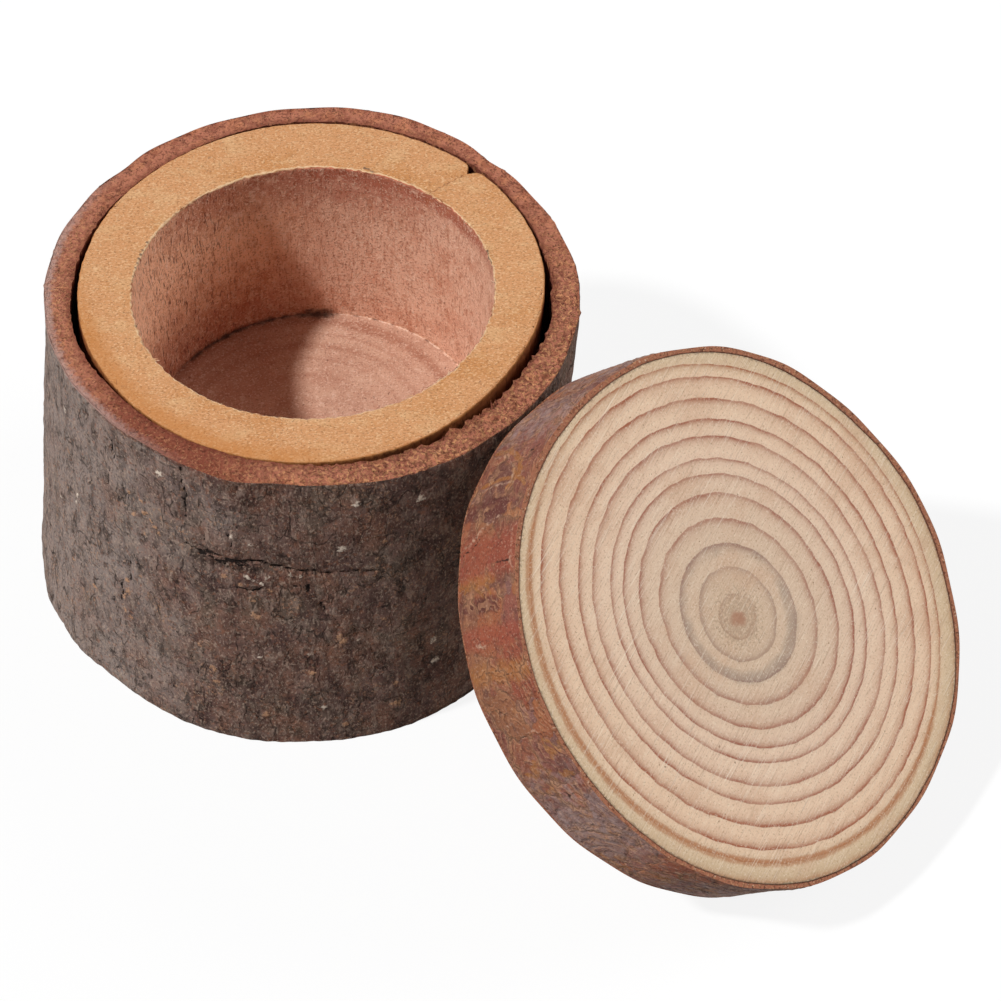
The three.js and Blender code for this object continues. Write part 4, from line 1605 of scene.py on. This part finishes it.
    def grow_bark(self, vertex: BMVert, share: float, on: SimpleNamespace) -> None:
        """Moves a vertex of the turned blank to the bark's natural outline, and gives it its marks.

        Args:
            vertex: the vertex, in millimetres.
            share: how far through the bark it lies, from 0 inside to 1 outside.
            on: the layers that take the marks.
        """
        spot, height = vertex.co, vertex.co.z
        _, angle, azimuth, out = polar_of(spot)
        depth = self.thickness - height
        high = self.outside.at(angle, height)
        low = min(self.wood_at(angle, height) + 0.02, high - 0.35)
        warp = Vector([cloud(spot, 3.2, seed, (1, 1, 1.6)) for seed in (3.0, 7.0, 9.0)])
        scale = cloud(spot + 1.8 * warp, 5.0, 1.0, (1, 1, 1.5)) + 0.35 * cloud(spot + warp, 2.2, 4.0)
        arched = self.scale_rows * azimuth / 360 - (depth - 0.6 * self.thickness) ** 2 / 26
        vertex[on.flake] = arched + 0.7 * scale + depth / 5 * step_at(azimuth, 235, 60, 25)
        if share > 0.95:
            terrace = vertex[on.flake] * 2.5 % 1
            from_edge = min(height, depth)
            step = terrace * smooth_step(1.0, 0.85, terrace) - 0.5
            high += 0.22 * step * smooth_step(0, 0.8, from_edge)
            high += 0.12 * scale - 0.12 * bell(from_edge, 0.5)
        vertex.co = out * (low + share * (high - low)) + UP * height
        vertex[on.across] = share
        vertex[on.rust] = max(
            bell_at(azimuth, 128, 6.5), 0.85 * bell_at(azimuth, 144.5, 3.5), 0.6 * bell_at(azimuth, 300, 30)
        )
        vertex[on.ochre] = max(
            0.9 * bell_at(azimuth, 133, 1.6) * smooth_step(2, 4, depth), 0.8 * bell_at(azimuth, 152, 4),
            0.5 * bell_at(azimuth, 160, 6), 0.4 * bell_at(azimuth, 105, 8), 0.5 * bell_at(azimuth, 350, 40),
        )
        vertex[on.stain] = max(
            bell_at(azimuth, 118.3, 2.4) * smooth_step(2.0, 3.4, depth),
            0.7 * bell_at(azimuth, 138, 2.6) * smooth_step(2.0, 4.0, depth),
        )
        vertex[on.bloom] = max(
            0.75 * bell_at(azimuth, 94, 13), 0.72 * bell_at(azimuth, 190, 24),
            0.75 * bell_at(azimuth, 232, 22), 0.85 * bell_at(azimuth, 66, 26),
        )
        vertex[on.fibre] = step_at(azimuth, 236, 30, 12)
        vertex[on.pale] = 0.6 * bell(depth - 0.9, 0.5) * bell_at(azimuth, 127, 14) * share

    def flaps(self, on: SimpleNamespace) -> list[tuple[Sequence[Pair], float, float, BMLayerItem]]:
        """Lists the flakes' lifted edges: the photograph's, then drawn ones where it shows none.

        Args:
            on: the layers that take the marks.

        Returns:
            For each its points, by azimuth and depth, its width, its strength and its layer.
        """
        flaps = [
            (((126, 10.6), (125, 8.8), (122.5, 7.2), (121, 5), (120.5, 3.8)), 0.3, 0.8, on.pale),
            # Painted shadow: a dark line beside the pale lifted flake edge above.
            (((127, 10.2), (126.2, 8.6), (123.8, 6.8), (122.2, 5)), 0.28, 0.75, on.split),
            (((130, 3.4), (130.2, 1.2)), 0.22, 0.9, on.split), (((116, 7.5), (120, 9)), 0.2, 0.6, on.split),
            (((147.3, 8.8), (148.3, 2)), 0.26, 0.7, on.split),
            (((170, 8), (176, 7.4)), 0.22, 0.7, on.split),
            (((133.5, 10.2), (132, 8.5), (133, 6.2), (136, 4.8)), 0.28, 1.4, on.ochre),
            (((134.8, 9.6), (133.8, 7.8), (137, 5.5)), 0.24, 1.3, on.ochre),
            (((151.5, 8.6), (151.2, 3)), 0.22, 0.75, on.split),
            (((152.8, 8.6), (152.5, 3)), 0.22, 0.7, on.split),
            (((154.2, 8.6), (153.9, 3)), 0.22, 0.7, on.split),
            (((145.7, 9), (146.2, 7)), 0.4, 0.8, on.pale),
            (((97.5, 10.6), (94, 10), (94.5, 7)), 0.4, 1.2, on.ochre),
            (((99, 10), (96, 9.3), (96.3, 6.6)), 0.3, 0.7, on.pale),
            (((104, 10), (104, 7.2), (108.5, 3.2), (112.5, 2.5), (114.5, 3.8)), 0.4, 1.3, on.ochre),
            (((105.4, 9.6), (105.6, 7), (109.6, 4.2), (113, 3.6)), 0.3, 0.75, on.pale),
            (((114, 9.5), (113, 6.8), (113.5, 3), (111.5, 1.8)), 0.35, 0.8, on.pale),
            (((112.8, 9.4), (111.9, 6.8), (112.2, 3.4)), 0.35, 1.2, on.ochre),
            (((110, 4.2), (114.5, 0.5)), 0.35, 1.2, on.ochre),
            (((107, 3), (105, 1.5)), 0.22, 0.9, on.split),
            (((101.5, 6.5), (100.5, 3.2)), 0.4, 0.7, on.pale),
            (((88.5, 8.8), (88, 5.2), (84.5, 3.8)), 0.5, 0.75, on.pale),
            (((95.5, 7.2), (95, 4.2)), 0.35, 0.7, on.pale),
        ]
        draw = random.Random(self.seed)
        kinds = ((0.26, 0.8, on.split), (0.36, 1.4, on.ochre), (0.25, 0.75, on.pale))
        for _ in range(260):
            azimuth, depth = draw.uniform(156, 445), draw.uniform(1, self.thickness - 1)
            width, strength, layer = draw.choice(kinds)
            bow = [(azimuth, depth)]
            for _ in range(3):
                azimuth += draw.uniform(-2, 2)
                depth = min(max(depth + draw.uniform(-1.2, 1.2), 0.4), self.thickness - 0.4)
                bow.append((azimuth, depth))
            flaps.append((bow, width, strength * draw.uniform(0.7, 1), layer))
        return flaps

    def build_plug(self) -> None:
        """Turns the locating disc, seated against the slice's underside."""
        radius, low, seat = self.plug_radius, self.plug_low, -0.02
        corners = [(0, low), (radius, low), (radius, seat), (0, seat)]
        mesh = Blank(corners, [30, 10, 4], 300, bevels={1: 0.5}).spin()
        on = layers_of(mesh, RING)
        for vertex in mesh.verts:
            vertex[on.ring] = (vertex.co - Vector((9, -4, 0))).xy.length / 2.3
            vertex.co.z += 0.015 * cloud(vertex.co, 0.9, 2.0)
        self.finish("lid_locating_disc", mesh, (TURNED_WOOD,), "plug_wood", "lid_plug")

    def finish(self, name: str, mesh: BMesh, finishes: Iterable[Finish], slot: str, node: str) -> None:
        """Makes a mesh, carved in the lid's own millimetres, a piece on the lid that stands for one node."""
        finish_piece(name, mesh, finishes, "lid", (node,), self.to_part)


@dataclass(frozen=True)
class Lamp:
    """A lamp that lights everything from one direction, all in degrees but its level.

    The azimuth and the elevation say where its light comes from, the level how bright a white surface that
    faces it becomes, and the softness how wide it looks.
    """

    name: str
    azimuth: float
    elevation: float
    level: float
    softness: float

    def hang(self) -> None:
        """Adds the lamp to the scene."""
        data = bpy.data.lights.new(self.name, "SUN")
        data.energy = self.level * math.pi
        data.angle = math.radians(self.softness)
        lamp = link(self.name, data)
        rise = math.radians(self.elevation)
        towards = polar(math.cos(rise), self.azimuth, math.sin(rise))
        lamp.rotation_mode = "QUATERNION"
        lamp.rotation_quaternion = towards.to_track_quat("Z", "Y")


@dataclass
class Studio:
    """Camera, floor, lamps and sky: a key lamp at the left, a broad fill at the right and an even sky."""

    camera_place: Triple = (21.6, -320.28, 370.89)
    camera_tilt: float = 41.35
    lens: float = 143.86
    lamps: tuple[Lamp, ...] = (
        Lamp("key_lamp", -155.5, 51.0, 0.98, 4.5),
        Lamp("fill_lamp", 12.0, 31.0, 0.45, 34.0),
    )
    sky_level: float = 0.19
    floor_size: float = 3000.0
    floor_glow: float = 0.87

    def place_camera(self) -> None:
        """Sets the camera at the photograph's place."""
        data = bpy.data.cameras.new("photo_camera")
        data.lens = self.lens
        data.sensor_width = 36
        camera = link("photo_camera", data)
        camera.location = Vector(self.camera_place) * MM
        camera.rotation_euler = (math.radians(self.camera_tilt), 0, 0)
        bpy.context.scene.camera = camera

    @staticmethod
    def seen_by(nodes: Nodes, *rays: str) -> NodeSocket:
        """Tells which rays see a background as white.

        Args:
            nodes: the material's or the world's nodes.
            rays: names of the kinds of ray.

        Returns:
            1 for one of those rays, and 0 for any other.
        """
        path = nodes.add("LightPath").node
        seen = path.outputs[rays[0]]
        for ray in rays[1:]:
            seen = nodes.add("Math", (seen, path.outputs[ray]), operation="MAXIMUM")
        return seen

    def light(self) -> None:
        """Hangs the lamps and lights the sky, which looks white to the camera."""
        for lamp in self.lamps:
            lamp.hang()
        world = bpy.data.worlds.new("studio")
        bpy.context.scene.world = world
        nodes = Nodes(world)
        seen = self.seen_by(nodes, "Is Camera Ray", "Is Transmission Ray", "Is Glossy Ray")
        level = nodes.add("MapRange", (seen, 0.0, 1.0, self.sky_level, 1.0))
        nodes.add("OutputWorld", {"Surface": nodes.add("Background", {"Color": WHITE, "Strength": level})})

    def lay_floor(self) -> None:
        """Lays a plain pale floor, which looks white and keeps a soft shadow."""
        mesh = bmesh.new()
        bmesh.ops.create_grid(mesh, x_segments=1, y_segments=1, size=self.floor_size * MM / 2)
        floor = link_mesh("floor", mesh)
        material = bpy.data.materials.new("pale_floor")
        nodes = Nodes(material)
        seen = self.seen_by(nodes, "Is Camera Ray", "Is Glossy Ray")
        layers = {MIX_FACTOR: seen, MIX_UNDER: linear("#b2b2b2"), MIX_OVER: linear("#f4f4f4")}
        matt = nodes.add("BsdfDiffuse", {"Color": nodes.add("Mix", layers, MIX_RESULT, data_type="RGBA")})
        glow = nodes.add("Emission", {"Color": WHITE, "Strength": 1.0})
        share = nodes.add("Math", (seen, self.floor_glow), operation="MULTIPLY")
        nodes.add("OutputMaterial", {"Surface": nodes.add("MixShader", (share, matt, glow))})
        floor.data.materials.append(material)


def main() -> None:
    """Builds the studio, the box and the lid."""
    logging.basicConfig(level=logging.INFO, format="%(name)s %(message)s")
    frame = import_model()
    bpy.context.scene.view_settings.view_transform = "Standard"
    studio = Studio()
    studio.place_camera()
    studio.light()
    studio.lay_floor()
    box = Box(frame["nodes"])
    box.build_log()
    box.build_bark()
    box.build_fuzz()
    box.build_splinters()
    lid = Lid(frame["nodes"])
    lid.build_slice()
    lid.build_bark()
    lid.build_plug()
    logger.info("sizes written")


if __name__ == "__main__":
    main()
